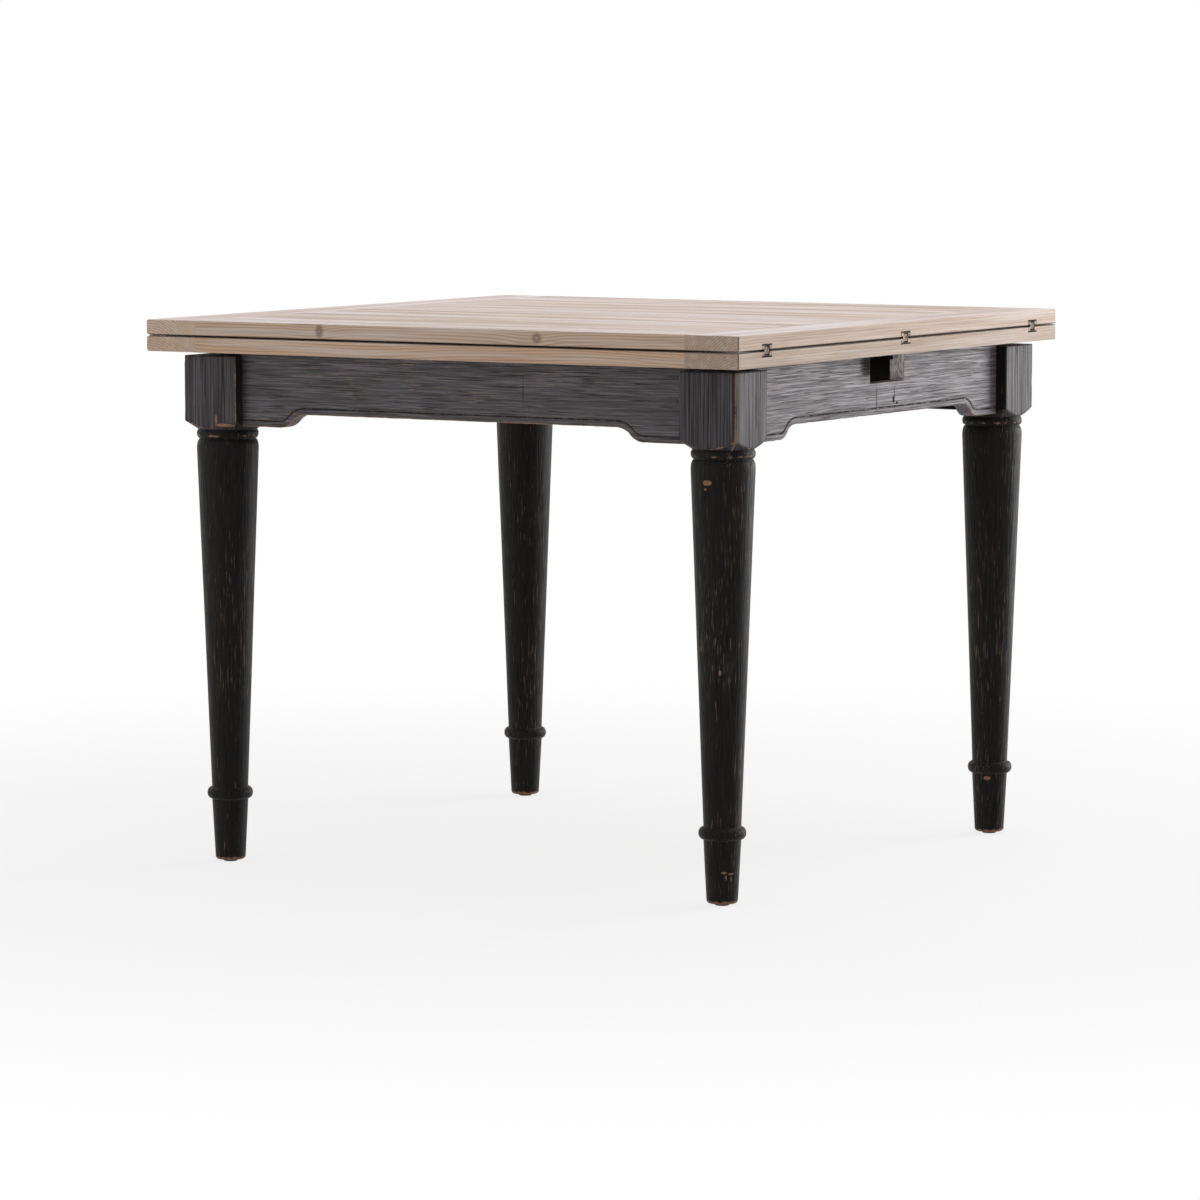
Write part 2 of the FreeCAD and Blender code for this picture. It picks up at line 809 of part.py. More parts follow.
def make_breadboard(leaf, end, thickness, level, screws):
    """Make a breadboard end, mortised for the hinges on the hinged side."""
    body = new_body(f"{leaf}_leaf_{end}_breadboard")
    half = "breadboard_width / 2"
    arris = "hinge_arris" if end == "hinge" else "free_arris"
    section = new_sketch(body, "XZ_Plane")
    draw(section, [
        (negative(half), "0"),
        (f"{half} - {arris}", "0"),
        (half, arris, arris, LEFT),
        (half, f"{thickness} - {arris}"),
        (f"{half} - {arris}", thickness, arris, LEFT),
        (negative(half), thickness),
    ])
    solid = pad(body, section, "leaf_width", symmetric=True)
    end_edges = []
    for index, edge in enumerate(solid.Shape.Edges, start=1):
        box = edge.BoundBox
        from_end = abs(abs(box.YMax) - value("leaf_width / 2"))
        at_end = box.YLength < SAME_PLACE and from_end < SAME_PLACE
        if at_end and box.XMax > value(negative(half)) + SAME_PLACE:
            end_edges.append(f"Edge{index}")
    easing = body.newObject("PartDesign::Fillet", "easing")
    easing.Base = (solid, end_edges)
    easing.setExpression("Radius", bound("side_arris"))
    doc.recompute()
    groove = new_sketch(body, "YZ_Plane", out=negative(half))
    reach = "leaf_width / 2 - tongue_setback + joint_fit"
    rectangle(groove, negative(reach), f"({thickness} - tongue_thickness) / 2 - joint_fit",
              reach, f"({thickness} + tongue_thickness) / 2 + joint_fit")
    cut(body, groove, "tongue_length + joint_fit", flip=True)
    middle = "leaf_length / 2 - breadboard_width / 2"
    if end == "hinge":
        joint_up = leaf == "lower"
        mortises = new_sketch(body, "XY_Plane", out=thickness if joint_up else "0")
        for centre in HINGES.values():
            rectangle(mortises, f"{half} - cup_depth - joint_fit", f"{centre} - cup_width / 2 - joint_fit",
                      f"{half} + hinge_arris", f"{centre} + cup_width / 2 + joint_fit")
        cut(body, mortises, "mortise_height", flip=not joint_up)
        pilot_holes(body, screws, middle, "0")
        place(body, middle, "0", level)
    else:
        place(body, negative(middle), "0", level, about_z(180))
    finish(body)


# Link hinges: a cup let into the edge of each leaf, and a link that turns on a pin in both

def make_cup(leaf, name, centre):
    """Make one hinge cup, its corner on the leaf's edge at the joint between the leaves."""
    body = new_body(f"hinge_cup_{leaf}_{name}")
    section = new_sketch(body, "XZ_Plane")
    draw(section, [
        ("-cup_depth", "-cup_height"),
        ("0", "-cup_height"),
        ("0", "-hinge_arris"),
        ("-hinge_arris", "0", "hinge_arris", LEFT),
        ("-cup_depth", "0"),
    ])
    pad(body, section, "cup_width", symmetric=True)
    slot = new_sketch(body, "XZ_Plane")
    rectangle(slot, "-slot_reach", "-slot_reach", "hinge_arris", "hinge_arris")
    cut(body, slot, "link_width + 2 * slot_clearance", symmetric=True)
    bore = new_sketch(body, "XZ_Plane")
    circle(bore, "-pin_inset", "-pin_inset", "pin_bore")
    cut(body, bore, "pin_length + 2 * joint_fit", symmetric=True)
    upside_down = Rotation(Vector(1, 0, 0), 180)
    level = "lower_top" if leaf == "lower" else "upper_bottom"
    place(body, "leaf_length / 2", centre, level, None if leaf == "lower" else upside_down)
    finish(body)


def make_link(name, centre):
    """Make the link of one hinge, standing on its lower pin."""
    body = new_body(f"hinge_link_{name}")
    outline = new_sketch(body, "XZ_Plane")
    draw(outline, [
        ("-link_radius", "0"),
        ("0", "-link_radius", "link_radius", LEFT),
        ("link_radius", "0", "link_radius", LEFT),
        ("link_radius", "link_length"),
        ("0", "link_length + link_radius", "link_radius", LEFT),
        ("-link_radius", "link_length", "link_radius", LEFT),
    ])
    pad(body, outline, "link_width", symmetric=True)
    bores = new_sketch(body, "XZ_Plane")
    circle(bores, "0", "0", "pin_bore")
    circle(bores, "0", "link_length", "pin_bore")
    cut(body, bores, symmetric=True)
    place(body, "leaf_length / 2 - pin_inset", centre, "lower_top - pin_inset")
    finish(body)


def make_pin():
    """Make the hinge pin, its middle at zero."""
    body = new_body("hinge_pin")
    section = new_sketch(body, "XY_Plane")
    circle(section, "0", "0", "pin_diameter")
    pad(body, section, "pin_length", symmetric=True)
    return body


def make_base():
    """Make everything that stands still."""
    for corner, (side, depth) in CORNERS.items():
        make_leg(corner, side, depth)
        make_glide(corner, side, depth)
        make_brace(corner, side, depth)
    make_apron("front", 0)
    make_apron("right", 90, notch_side=1)
    make_apron("back", 180)
    make_apron("left", 270, notch_side=-1)
    make_rail("front", -1)
    make_rail("back", 1)
    group("hanger_bolts", make_hanger_bolt(), along_bolt("bolt_start"))
    group("hanger_bolt_washers", make_washer(), along_bolt("brace_inner"))
    group("hanger_bolt_nuts", make_nut(), along_bolt("brace_inner + washer_thickness"))


def make_top():
    """Make the slide's moving half, both leaves and their hinges."""
    make_runner()
    for name, (across, depth) in STOPS.items():
        make_stop(name, across, depth)
    runner_screws, stop_screws = under_leaf_screws()
    screw = make_screw()
    group("brace_screws", screw, brace_screw_places())
    group("runner_screws", screw, runner_screws)
    group("stop_screws", screw, stop_screws)
    leaves = (
        ("lower", "lower_thickness", "apron_top", runner_screws + stop_screws),
        ("upper", "upper_thickness", "upper_bottom", []),
    )
    for leaf, thickness, level, screws in leaves:
        for index in range(count("plank_count")):
            make_plank(leaf, index, thickness, level, screws)
        for end in ("hinge", "free"):
            make_breadboard(leaf, end, thickness, level, screws)
        for name, centre in HINGES.items():
            make_cup(leaf, name, centre)
    for name, centre in HINGES.items():
        make_link(name, centre)
    pin = make_pin()
    across = "leaf_length / 2 - pin_inset"
    for leaf, level in (("lower", "lower_top - pin_inset"), ("upper", "upper_bottom + pin_inset")):
        places = [(across, centre, level, Vector(0, 1, 0)) for centre in HINGES.values()]
        group(f"hinge_pins_{leaf}", pin, places)


def write_nodes():
    """Check every object of the document, then write one file per piece."""
    doc.recompute()
    for item in doc.Objects:
        if "Invalid" in item.State or "Error" in item.State:
            raise ValueError(f"{item.Label}: {item.State}")
    for node in nodes:
        if node.Shape.isNull() or not node.Shape.isValid():
            raise ValueError(f"{node.Label}: no valid solid")
    os.makedirs("parts", exist_ok=True)
    for node in nodes:
        node.Shape.exportStep(os.path.join("parts", f"{node.Label}.step"))
        print(f"{node.Label}: {len(node.Shape.Solids)} solid(s), {node.Shape.Volume / 1000:.1f} cm3")


make_base()
make_top()
write_nodes()
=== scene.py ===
"""Dress the flip-top dining table: worn black base, pale limed top, hinges, studio and camera."""
import logging
import math
from dataclasses import dataclass, field
from enum import Enum
from typing import Iterable, Sequence, Union

import bmesh
import bpy
from mathutils import Euler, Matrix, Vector, noise


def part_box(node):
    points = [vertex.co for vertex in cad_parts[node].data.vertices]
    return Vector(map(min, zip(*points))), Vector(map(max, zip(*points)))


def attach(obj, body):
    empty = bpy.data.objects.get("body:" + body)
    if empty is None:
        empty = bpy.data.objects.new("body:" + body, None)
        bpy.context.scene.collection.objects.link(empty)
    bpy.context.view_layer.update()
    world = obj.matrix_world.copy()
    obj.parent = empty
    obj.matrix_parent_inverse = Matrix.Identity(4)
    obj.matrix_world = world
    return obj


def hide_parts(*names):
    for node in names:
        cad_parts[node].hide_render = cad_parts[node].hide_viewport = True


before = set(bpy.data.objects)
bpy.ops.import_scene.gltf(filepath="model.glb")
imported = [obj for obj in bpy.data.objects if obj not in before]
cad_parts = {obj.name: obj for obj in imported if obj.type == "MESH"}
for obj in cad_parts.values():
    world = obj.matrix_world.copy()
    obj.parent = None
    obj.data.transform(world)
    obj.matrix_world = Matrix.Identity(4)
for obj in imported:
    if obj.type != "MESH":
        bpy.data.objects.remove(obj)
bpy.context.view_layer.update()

LOG = logging.getLogger("table")
# How squarely a face looks along an axis, where a noise's values lie, and what counts as one place or cut
FACE_ON = (0.6, 0.9)
SPREAD = (0.3, 0.7)
SAME_PLACE = 1e-5
SAME_CUT = 1e-6

Colour = tuple[float, float, float]
Ramp = tuple[float, float, float, float]
Socket = bpy.types.NodeSocket
Value = Union[float, Socket]
Inputs = dict[Union[str, int], Union[Value, Sequence[float]]]
WHITE: Colour = (1.0, 1.0, 1.0)
BLACK: Colour = (0.0, 0.0, 0.0)


class Grain(Enum):
    """The way the grain of a board runs in the table's frame, as the index of its axis."""

    ALONG_SLIDE = 0
    ALONG_HINGE = 1
    UPRIGHT = 2

    def sizes(self, along: float, across: float) -> list[float]:
        """Return a factor for each axis, one along the grain and another across it."""
        return [along if axis is self else across for axis in Grain]


class Corner(Enum):
    """A corner of the base, as the signs of its place along X and Y."""

    FRONT_LEFT = (-1, -1)
    FRONT_RIGHT = (1, -1)
    BACK_RIGHT = (1, 1)
    BACK_LEFT = (-1, 1)

    @property
    def label(self) -> str:
        """Return the corner's name as the nodes spell it."""
        return self.name.lower()


class Side(Enum):
    """A side of the base, as the turn of its apron from the front in degrees."""

    FRONT = 0
    RIGHT = 90
    BACK = 180
    LEFT = 270

    @property
    def label(self) -> str:
        """Return the side's name as the nodes spell it."""
        return self.name.lower()

    @property
    def is_end(self) -> bool:
        """Return whether the apron closes an end of the table, where the runner passes."""
        return self in (Side.RIGHT, Side.LEFT)

    @property
    def along(self) -> Vector:
        """Return the way the apron runs."""
        turn = math.radians(self.value)
        return Vector((round(math.cos(turn)), round(math.sin(turn)), 0.0))

    @property
    def inward(self) -> Vector:
        """Return the way from the apron's outer face into the base."""
        return Vector((-self.along.y, self.along.x, 0.0))


# Shader building

class Nodes:
    """A node tree in the making, with short calls for the nodes that the finishes need."""

    def __init__(self, tree: bpy.types.NodeTree) -> None:
        """Start on a tree."""
        self.tree = tree

    def add(self, kind: str, inputs: Inputs | None = None, **settings: object) -> bpy.types.Node:
        """Add a node.

        Args:
            kind: The node's type name after its common prefix.
            inputs: What goes into its sockets, by name or number, each a link or a constant.
            **settings: The node's own properties.

        Returns:
            The node.
        """
        node = self.tree.nodes.new(f"ShaderNode{kind}")
        for key, setting in settings.items():
            setattr(node, key, setting)
        for key, value in (inputs or {}).items():
            self.feed(node.inputs[key], value)
        return node

    def feed(self, socket: Socket, value: Value | Sequence[float]) -> None:
        """Link a socket, or set its constant.

        Args:
            socket: The input to feed.
            value: Another node's output, a number or a colour.
        """
        if isinstance(value, bpy.types.NodeSocket):
            self.tree.links.new(value, socket)
        elif isinstance(value, (int, float)):
            socket.default_value = value
        else:
            channels = len(socket.default_value)
            socket.default_value = [*value, 1.0][:channels]

    def sum(self, operation: str, first: Value, second: Value = 0.0, third: Value = 0.0) -> Socket:
        """Do arithmetic on values.

        Args:
            operation: The name of the operation.
            first: The first value.
            second: The second value.
            third: The third value.

        Returns:
            The result.
        """
        return self.add("Math", {0: first, 1: second, 2: third}, operation=operation).outputs[0]

    def times(self, first: Value, second: Value) -> Socket:
        """Return the product of two values."""
        return self.sum("MULTIPLY", first, second)

    def most(self, first: Value, second: Value) -> Socket:
        """Return the greater of two values."""
        return self.sum("MAXIMUM", first, second)

    def diagonal(self, first: Value, second: Value) -> Socket:
        """Return the diagonal over two distances at right angles."""
        squares = [self.sum("POWER", distance, 2.0) for distance in (first, second)]
        return self.sum("SQRT", self.sum("ADD", *squares))

    def vector(self, operation: str, first: Socket, second: Socket | Sequence[float] | None = None,
               output: int = 0) -> Socket:
        """Do arithmetic on places or directions.

        Args:
            operation: The name of the operation.
            first: The first vector.
            second: The second vector, where the operation takes one.
            output: The number of the output, 0 for a vector and 1 for a value.

        Returns:
            The result.
        """
        inputs: Inputs = {0: first}
        if second is not None:
            inputs[1] = second
        return self.add("VectorMath", inputs, operation=operation).outputs[output]

    def step(self, value: Value, low: float, high: float, at_low: float = 0.0,
             at_high: float = 1.0) -> Socket:
        """Blend smoothly from one value to another as the input passes between two levels.

        Args:
            value: The input.
            low: The level where the blend starts.
            high: The level where it ends.
            at_low: The result below the first level.
            at_high: The result above the second level.

        Returns:
            The blended value.
        """
        inputs = {"Value": value, "From Min": low, "From Max": high, "To Min": at_low, "To Max": at_high}
        return self.add("MapRange", inputs, interpolation_type="SMOOTHSTEP").outputs[0]

    def noise(self, place: Socket, sizes: Sequence[float], seed: float = 0.0, detail: float = 2.0,
              roughness: float = 0.5) -> Socket:
        """Sample a noise that is stretched along the axes.

        Args:
            place: The place on the piece.
            sizes: How many spots there are to a metre along each axis.
            seed: Which of the noise's patterns is taken.
            detail: How many finer layers are added.
            roughness: How strong the finer layers are.

        Returns:
            A value around one half.
        """
        inputs = {"Vector": self.vector("MULTIPLY", place, sizes), "W": seed, "Scale": 1.0,
                  "Detail": detail, "Roughness": roughness}
        return self.add("TexNoise", inputs, noise_dimensions="4D").outputs[0]

    def blend(self, share: Value, first: Socket | Colour, second: Socket | Colour,
              mode: str = "MIX") -> Socket:
        """Mix two colours.

        Args:
            share: How much of the second is taken.
            first: The first colour.
            second: The second colour.
            mode: How they are mixed.

        Returns:
            The mixed colour.
        """
        return self.add("Mix", {0: share, 6: first, 7: second}, data_type="RGBA", blend_type=mode).outputs[2]

    def place(self) -> Socket:
        """Return the place on the piece in the table's frame at rest."""
        return self.add("TexCoord").outputs["Object"]

    def facing(self, axis: Grain) -> Socket:
        """Return one where the surface faces along an axis, either way."""
        normal = self.add("TexCoord").outputs["Normal"]
        return self.step(self.away(normal, axis), *FACE_ON)

    def warped(self, place: Socket, sizes: Sequence[float], reach: float) -> Socket:
        """Push a place about by a slow noise, so that what is drawn there wavers.

        Args:
            place: The place.
            sizes: How many waves there are to a metre along each axis.
            reach: How far the noise pushes.

        Returns:
            The pushed place.
        """
        inputs = {"Vector": self.vector("MULTIPLY", place, sizes), "Scale": 1.0, "Detail": 2.0}
        waves = self.add("TexNoise", inputs).outputs["Color"]
        pushed = {0: waves, 1: (reach, reach, reach), 2: place}
        return self.add("VectorMath", pushed, operation="MULTIPLY_ADD").outputs[0]

    def across(self, place: Socket, axis: Grain, middle: float = 0.0) -> Socket:
        """Return how far a place lies beyond a middle along one axis."""
        part = self.add("SeparateXYZ", {"Vector": place}).outputs[axis.value]
        return self.sum("SUBTRACT", part, middle)

    def away(self, place: Socket, axis: Grain, middle: float = 0.0) -> Socket:
        """Return how far a place lies from a middle along one axis, whichever way."""
        return self.sum("ABSOLUTE", self.across(place, axis, middle))


class Shader(Nodes):
    """A material in the making."""

    def __init__(self, name: str) -> None:
        """Start a material with a surface shader.

        Args:
            name: The material's name.
        """
        self.material = bpy.data.materials.new(name)
        self.material.use_nodes = True
        super().__init__(self.material.node_tree)
        self.surface = self.tree.nodes["Principled BSDF"]

    def wear(self) -> Socket:
        """Return how far the mesh is rubbed: 1 to the wood, 0 not at all and below 0 in a groove."""
        return self.add("Attribute", attribute_name="wear").outputs["Fac"]

    def relief(self, height: Socket, depth: float, strength: float, normal: Socket | None = None) -> Socket:
        """Raise the surface by a height.

        Args:
            height: The height as a share of the depth.
            depth: The full depth in metres.
            strength: How much of the relief is kept.
            normal: The surface's normal, where it isn't the plain one.

        Returns:
            The normal of the raised surface.
        """
        inputs = {"Height": height, "Distance": depth, "Strength": strength}
        if normal is not None:
            inputs["Normal"] = normal
        return self.add("Bump", inputs).outputs[0]

    def finish(self, inputs: Inputs) -> bpy.types.Material:
        """Feed the surface shader.

        Args:
            inputs: What goes into its named sockets.

        Returns:
            The finished material.
        """
        for key, value in inputs.items():
            self.feed(self.surface.inputs[key], value)
        return self.material


@dataclass(frozen=True)
class Streaks:
    """A noise drawn out along the grain: spots to a metre along and across it, its turn and its layers."""

    along: float
    across: float
    turn: float = 0.0
    detail: float = 2.0
    roughness: float = 0.5

    def draw(self, shader: Nodes, place: Socket, grain: Grain, seed: float = 0.0) -> Socket:
        """Draw the noise.

        Args:
            shader: The tree in the making.
            place: The place on the piece.
            grain: The way of the grain.
            seed: The piece's own number, to which the turn is added.

        Returns:
            A value around one half.
        """
        sizes = grain.sizes(self.along, self.across)
        return shader.noise(place, sizes, seed + self.turn, self.detail, self.roughness)


# Finishes

@dataclass(frozen=True)
class Knot:
    """A knot in a board's edge: its place along the board, its level, half width, half height and depth."""

    along: float
    level: float
    half_width: float
    half_height: float
    depth: float = 0.022
    core: float = 0.2
    spread: float = 0.8
    rim: Ramp = (0.75, 1.75, 0.76, 0.0)
    heart: Ramp = (0.45, 0.85, 0.55, 1.0)
    bend: Ramp = (0.4, 8.0, 0.0020, 0.0)
    bend_shift: float = 1.5


@dataclass(frozen=True)
class BoardLook:
    """What a pine finish reads off a board at each place."""

    place: Socket
    side: Socket
    up: Socket
    flat: Socket
    upright: Socket
    fibre: Socket
    hair: Socket


@dataclass(frozen=True)
class LimedPine:
    """Pale brushed pine with growth rings about a pith line, limed so that the pores stay light."""

    name: str
    grain: Grain
    middle: Vector
    pith_across: float
    pith_up: float
    seed: float
    tone: float = 1.0
    warmth: float = 0.0
    limed: float = 0.0
    figure: float = 0.66
    end_figure: float = 0.44
    ring_width: float = 0.0021
    ring_waver: float = 0.008
    pith_drift: float = 0.036
    knots: tuple[Knot, ...] = ()
    half_width: float = 0.0
    joints: tuple[float, ...] = ()
    joint_level: float = 0.0
    # Painted shade along the gap between the leaves: a near-black band on the edges by the joint and just
    # inside the rim.
    joint_shade_reach: float = 0.0014
    joint_shade_core: float = 0.3
    joint_shade_share: float = 0.94
    # Hinge recesses, in which shade is painted near black.
    recesses: tuple[float, ...] = ()
    leaf_half: float = 0.475
    # A thin dark line down one arris, drawn in the same near-black colour.
    dark_arris: tuple[float, float] | None = None
    gloss: float = 0.35
    roughness: tuple[float, float] = (0.50, 0.66)
    relief_depth: float = 0.0005
    relief_strength: float = 0.6
    ring_ridge: float = 0.6
    fibre: Streaks = Streaks(8.0, 620.0, 0.0, 3.0, 0.6)
    streak: Streaks = Streaks(2.4, 95.0, 3.0, 3.0, 0.55)
    band: Streaks = Streaks(1.6, 26.0, 5.0, 3.0, 0.65)
    hair: Streaks = Streaks(3.0, 210.0, 7.0, 3.0, 0.7)
    wander: Streaks = Streaks(1.3, 0.0, 11.0)
    wave: Streaks = Streaks(2.6, 26.0, 17.0, 3.0)
    speck: Streaks = Streaks(700.0, 700.0)
    hairiness: float = 0.42
    ring_share: float = 0.45
    late_ramp: Ramp = (0.35, 0.95, 0.0, 1.0)
    lime_ramp: Ramp = (0.48, 0.66, 0.0, 0.60)
    pore_ramp: Ramp = (0.56, 0.68, 0.0, 0.45)
    line_ramp: Ramp = (0.50, 0.66, 0.0, 0.34)
    film_ramp: Ramp = (0.36, 0.60, 0.86, 0.14)
    brown_ramp: Ramp = (0.53, 0.66, 0.0, 0.70)
    seam_ramp: Ramp = (0.0004, 0.0016, 0.72, 0.0)
    dust_ramp: Ramp = (0.40, 0.62, 0.0, 0.35)
    rim_ramp: Ramp = (0.0012, 0.0034, 0.85, 0.0)
    arris_ramp: Ramp = (0.0006, 0.0018, 0.75, 0.0)
    recess_lip: Ramp = (0.0003, 0.0008, 0.0, 1.0)
    recess_mouth: Ramp = (0.0003, 0.0012, 0.0, 1.0)
    recess_floor: Ramp = (0.0100, 0.0110, 1.0, 0.0)
    recess_back: Ramp = (0.030, 0.035, 0.97, 0.0)
    recess_side: Ramp = (0.0165, 0.0175, 1.0, 0.0)
    pale: Colour = (0.640, 0.470, 0.352)
    dark: Colour = (0.345, 0.205, 0.122)
    lime: Colour = (0.700, 0.610, 0.550)
    film: Colour = (0.905, 0.830, 0.850)
    shade: Colour = (0.400, 0.285, 0.225)
    end_tint: Colour = (0.860, 0.850, 0.820)
    knot_colour: Colour = (0.165, 0.084, 0.064)
    # The near-black colour of the painted shade by the leaves' joint and in the hinge recesses, and of the
    # dark arris line.
    painted_shade: Colour = (0.030, 0.018, 0.013)

    @property
    def side_axis(self) -> Grain:
        """Return the axis that runs across the board."""
        return Grain.ALONG_HINGE if self.grain is Grain.ALONG_SLIDE else Grain.ALONG_SLIDE

    def make(self) -> bpy.types.Material:
        """Make the material.

        Returns:
            The material.
        """
        shader = Shader(self.name)
        look = self.read(shader)
        rings, knot_wood = self.rings(shader, look)
        late = shader.step(rings, *self.late_ramp)
        colour = self.wood(shader, look, late)
        colour = self.liming(shader, look, late, colour)
        colour = shader.blend(knot_wood, colour, self.knot_colour)
        colour = self.ends(shader, look, late, colour)
        # Painted shade by the leaves' joint and in the hinge recesses, and a dark arris line.
        colour = shader.blend(self.painted_shade_share(shader, look), colour, self.painted_shade)
        height = shader.sum("MULTIPLY_ADD", late, self.ring_ridge, look.fibre)
        return shader.finish({
            "Base Color": colour,
            "Roughness": shader.step(look.fibre, *SPREAD, *self.roughness),
            "Specular IOR Level": self.gloss,
            "Normal": shader.relief(height, self.relief_depth, self.relief_strength),
        })

    def read(self, shader: Shader) -> BoardLook:
        """Read a board's places, faces and fibres.

        Args:
            shader: The material in the making.

        Returns:
            What the finish is drawn with.
        """
        place = shader.place()
        flat = shader.facing(Grain.UPRIGHT)
        return BoardLook(
            place=place,
            side=shader.across(place, self.side_axis, self.middle[self.side_axis.value]),
            up=shader.across(place, Grain.UPRIGHT, self.middle.z),
            flat=flat,
            upright=shader.sum("SUBTRACT", 1.0, flat),
            fibre=self.fibre.draw(shader, place, self.grain, self.seed),
            hair=self.hair.draw(shader, place, self.grain, self.seed))

    def rings(self, shader: Shader, look: BoardLook) -> tuple[Socket, Value]:
        """Work out the growth rings and the knots that push them aside.

        Args:
            shader: The material in the making.
            look: What is read off the board.

        Returns:
            The share of a ring's year, and the share of knot wood.
        """
        wander = self.wander.draw(shader, look.place, self.grain, self.seed)
        wave = self.wave.draw(shader, look.place, self.grain, self.seed)
        drift = shader.sum("MULTIPLY_ADD", wander, self.pith_drift, self.pith_across - self.pith_drift / 2)
        radius = shader.diagonal(shader.sum("SUBTRACT", look.side, drift),
                                 shader.sum("SUBTRACT", look.up, self.pith_up))
        radius = shader.sum("MULTIPLY_ADD", wave, self.ring_waver, radius)
        knot_wood: Value = 0.0
        for knot in self.knots:
            reach = shader.sum("DIVIDE", shader.across(look.place, self.grain, knot.along), knot.half_width)
            rise = shader.sum("DIVIDE", shader.sum("SUBTRACT", look.up, knot.level), knot.half_height)
            away = shader.sum("MULTIPLY_ADD", wave, knot.spread, shader.diagonal(reach, rise))
            beside = shader.sum("ABSOLUTE", shader.sum("ADD", reach, knot.bend_shift))
            radius = shader.sum("ADD", radius, shader.step(beside, *knot.bend))
            sunk = shader.sum("ADD", look.side, self.half_width)
            spot = shader.times(shader.step(away, *knot.rim), shader.step(away, *knot.heart))
            spot = shader.times(spot, shader.step(sunk, knot.core * knot.depth, knot.depth, 1.0, 0.0))
            knot_wood = shader.most(knot_wood, spot)
        return shader.sum("FRACT", shader.sum("DIVIDE", radius, self.ring_width)), knot_wood

    def wood(self, shader: Shader, look: BoardLook, late: Socket) -> Socket:
        """Colour the bare wood.

        Args:
            shader: The material in the making.
            look: What is read off the board.
            late: The share of late wood.

        Returns:
            The colour.
        """
        streak = self.streak.draw(shader, look.place, self.grain, self.seed)
        pale = tuple(channel * self.tone * (1.0 - self.warmth * index)
                     for index, channel in enumerate(self.pale))
        colour = shader.blend(shader.times(late, self.figure), pale, self.dark)
        colour = shader.blend(shader.step(streak, *self.lime_ramp), colour, self.lime)
        colour = shader.blend(shader.step(look.fibre, *self.pore_ramp), colour, self.dark)
        lines = shader.times(look.upright, shader.step(look.hair, *self.line_ramp))
        return shader.blend(lines, colour, self.dark)

    def liming(self, shader: Shader, look: BoardLook, late: Socket, colour: Socket) -> Socket:
        """Lay the lime over the flat faces, with the rings and the board's joints showing through.

        Args:
            shader: The material in the making.
            look: What is read off the board.
            late: The share of late wood.
            colour: The colour of the bare wood.

        Returns:
            The colour.
        """
        band = self.band.draw(shader, look.place, self.grain, self.seed)
        ragged = shader.sum("MULTIPLY_ADD", look.hair, self.hairiness, -self.hairiness / 2)
        band = shader.sum("ADD", band, ragged)
        low, high, thick, thin = self.film_ramp
        film = shader.step(band, low, high, thick, thin + self.limed)
        colour = shader.blend(shader.times(look.flat, film), colour, self.film)
        low, high, plain, brown = self.brown_ramp
        stained = shader.step(band, low, high, plain, brown - self.limed)
        colour = shader.blend(shader.times(look.flat, stained), colour, self.shade)
        lined = shader.times(shader.times(late, look.flat), self.ring_share * self.figure)
        colour = shader.blend(lined, colour, self.shade)
        for joint in self.joints:
            seam = shader.step(shader.away(look.place, self.side_axis, joint), *self.seam_ramp)
            colour = shader.blend(shader.times(look.flat, seam), colour, self.knot_colour)
        return colour

    def ends(self, shader: Shader, look: BoardLook, late: Socket, colour: Socket) -> Socket:
        """Tint the end grain.

        Args:
            shader: The material in the making.
            look: What is read off the board.
            late: The share of late wood.
            colour: The colour of the other faces.

        Returns:
            The colour.
        """
        speck = self.speck.draw(shader, look.place, self.grain, self.seed)
        dusty = shader.blend(shader.step(speck, *self.dust_ramp), colour, self.lime)
        dusty = shader.blend(shader.times(late, self.end_figure), dusty, self.dark)
        tinted = shader.blend(1.0, dusty, self.end_tint, "MULTIPLY")
        return shader.blend(shader.facing(self.grain), colour, tinted)

    def painted_shade_share(self, shader: Shader, look: BoardLook) -> Socket:
        """Work out where shade is painted: along the joint of the leaves, where the gap between them lies in
        shadow, and in the hinge recesses; and where a dark line runs down an arris.

        Args:
            shader: The material in the making.
            look: What is read off the board.

        Returns:
            The share of painted shade and of the dark arris line.
        """
        from_joint = shader.away(look.place, Grain.UPRIGHT, self.joint_level)
        reaches = [shader.away(look.place, axis) for axis in (Grain.ALONG_SLIDE, Grain.ALONG_HINGE)]
        inset = shader.sum("SUBTRACT", self.leaf_half, shader.most(*reaches))
        rim = shader.most(look.upright, shader.step(inset, *self.rim_ramp))
        core = self.joint_shade_core * self.joint_shade_reach
        share = shader.times(shader.step(from_joint, core, self.joint_shade_reach, self.joint_shade_share, 0.0), rim)
        if self.dark_arris is not None:
            sides = [shader.across(look.place, axis, spot) for axis, spot in zip(Grain, self.dark_arris)]
            arris = shader.step(shader.diagonal(*sides), *self.arris_ramp)
            share = shader.most(share, shader.times(look.upright, arris))
        if self.recesses:
            share = shader.most(share, self.recess_shade(shader, look, from_joint, inset))
        return share

    def recess_shade(self, shader: Shader, look: BoardLook, from_joint: Socket, inset: Socket) -> Socket:
        """Work out where shade is painted in the hinge recesses.

        Args:
            shader: The material in the making.
            look: What is read off the board.
            from_joint: The distance from the joint between the leaves.
            inset: The distance from the leaf's edge.

        Returns:
            The share of painted shade.
        """
        sunk = shader.times(shader.step(from_joint, *self.recess_lip),
                            shader.step(inset, *self.recess_mouth))
        near = shader.times(shader.step(from_joint, *self.recess_floor),
                            shader.step(inset, *self.recess_back))
        share: Value = 0.0
        for recess in self.recesses:
            beside = shader.away(look.place, Grain.ALONG_HINGE, recess)
            share = shader.most(share, shader.step(beside, *self.recess_side))
        return shader.times(share, shader.times(sunk, near))


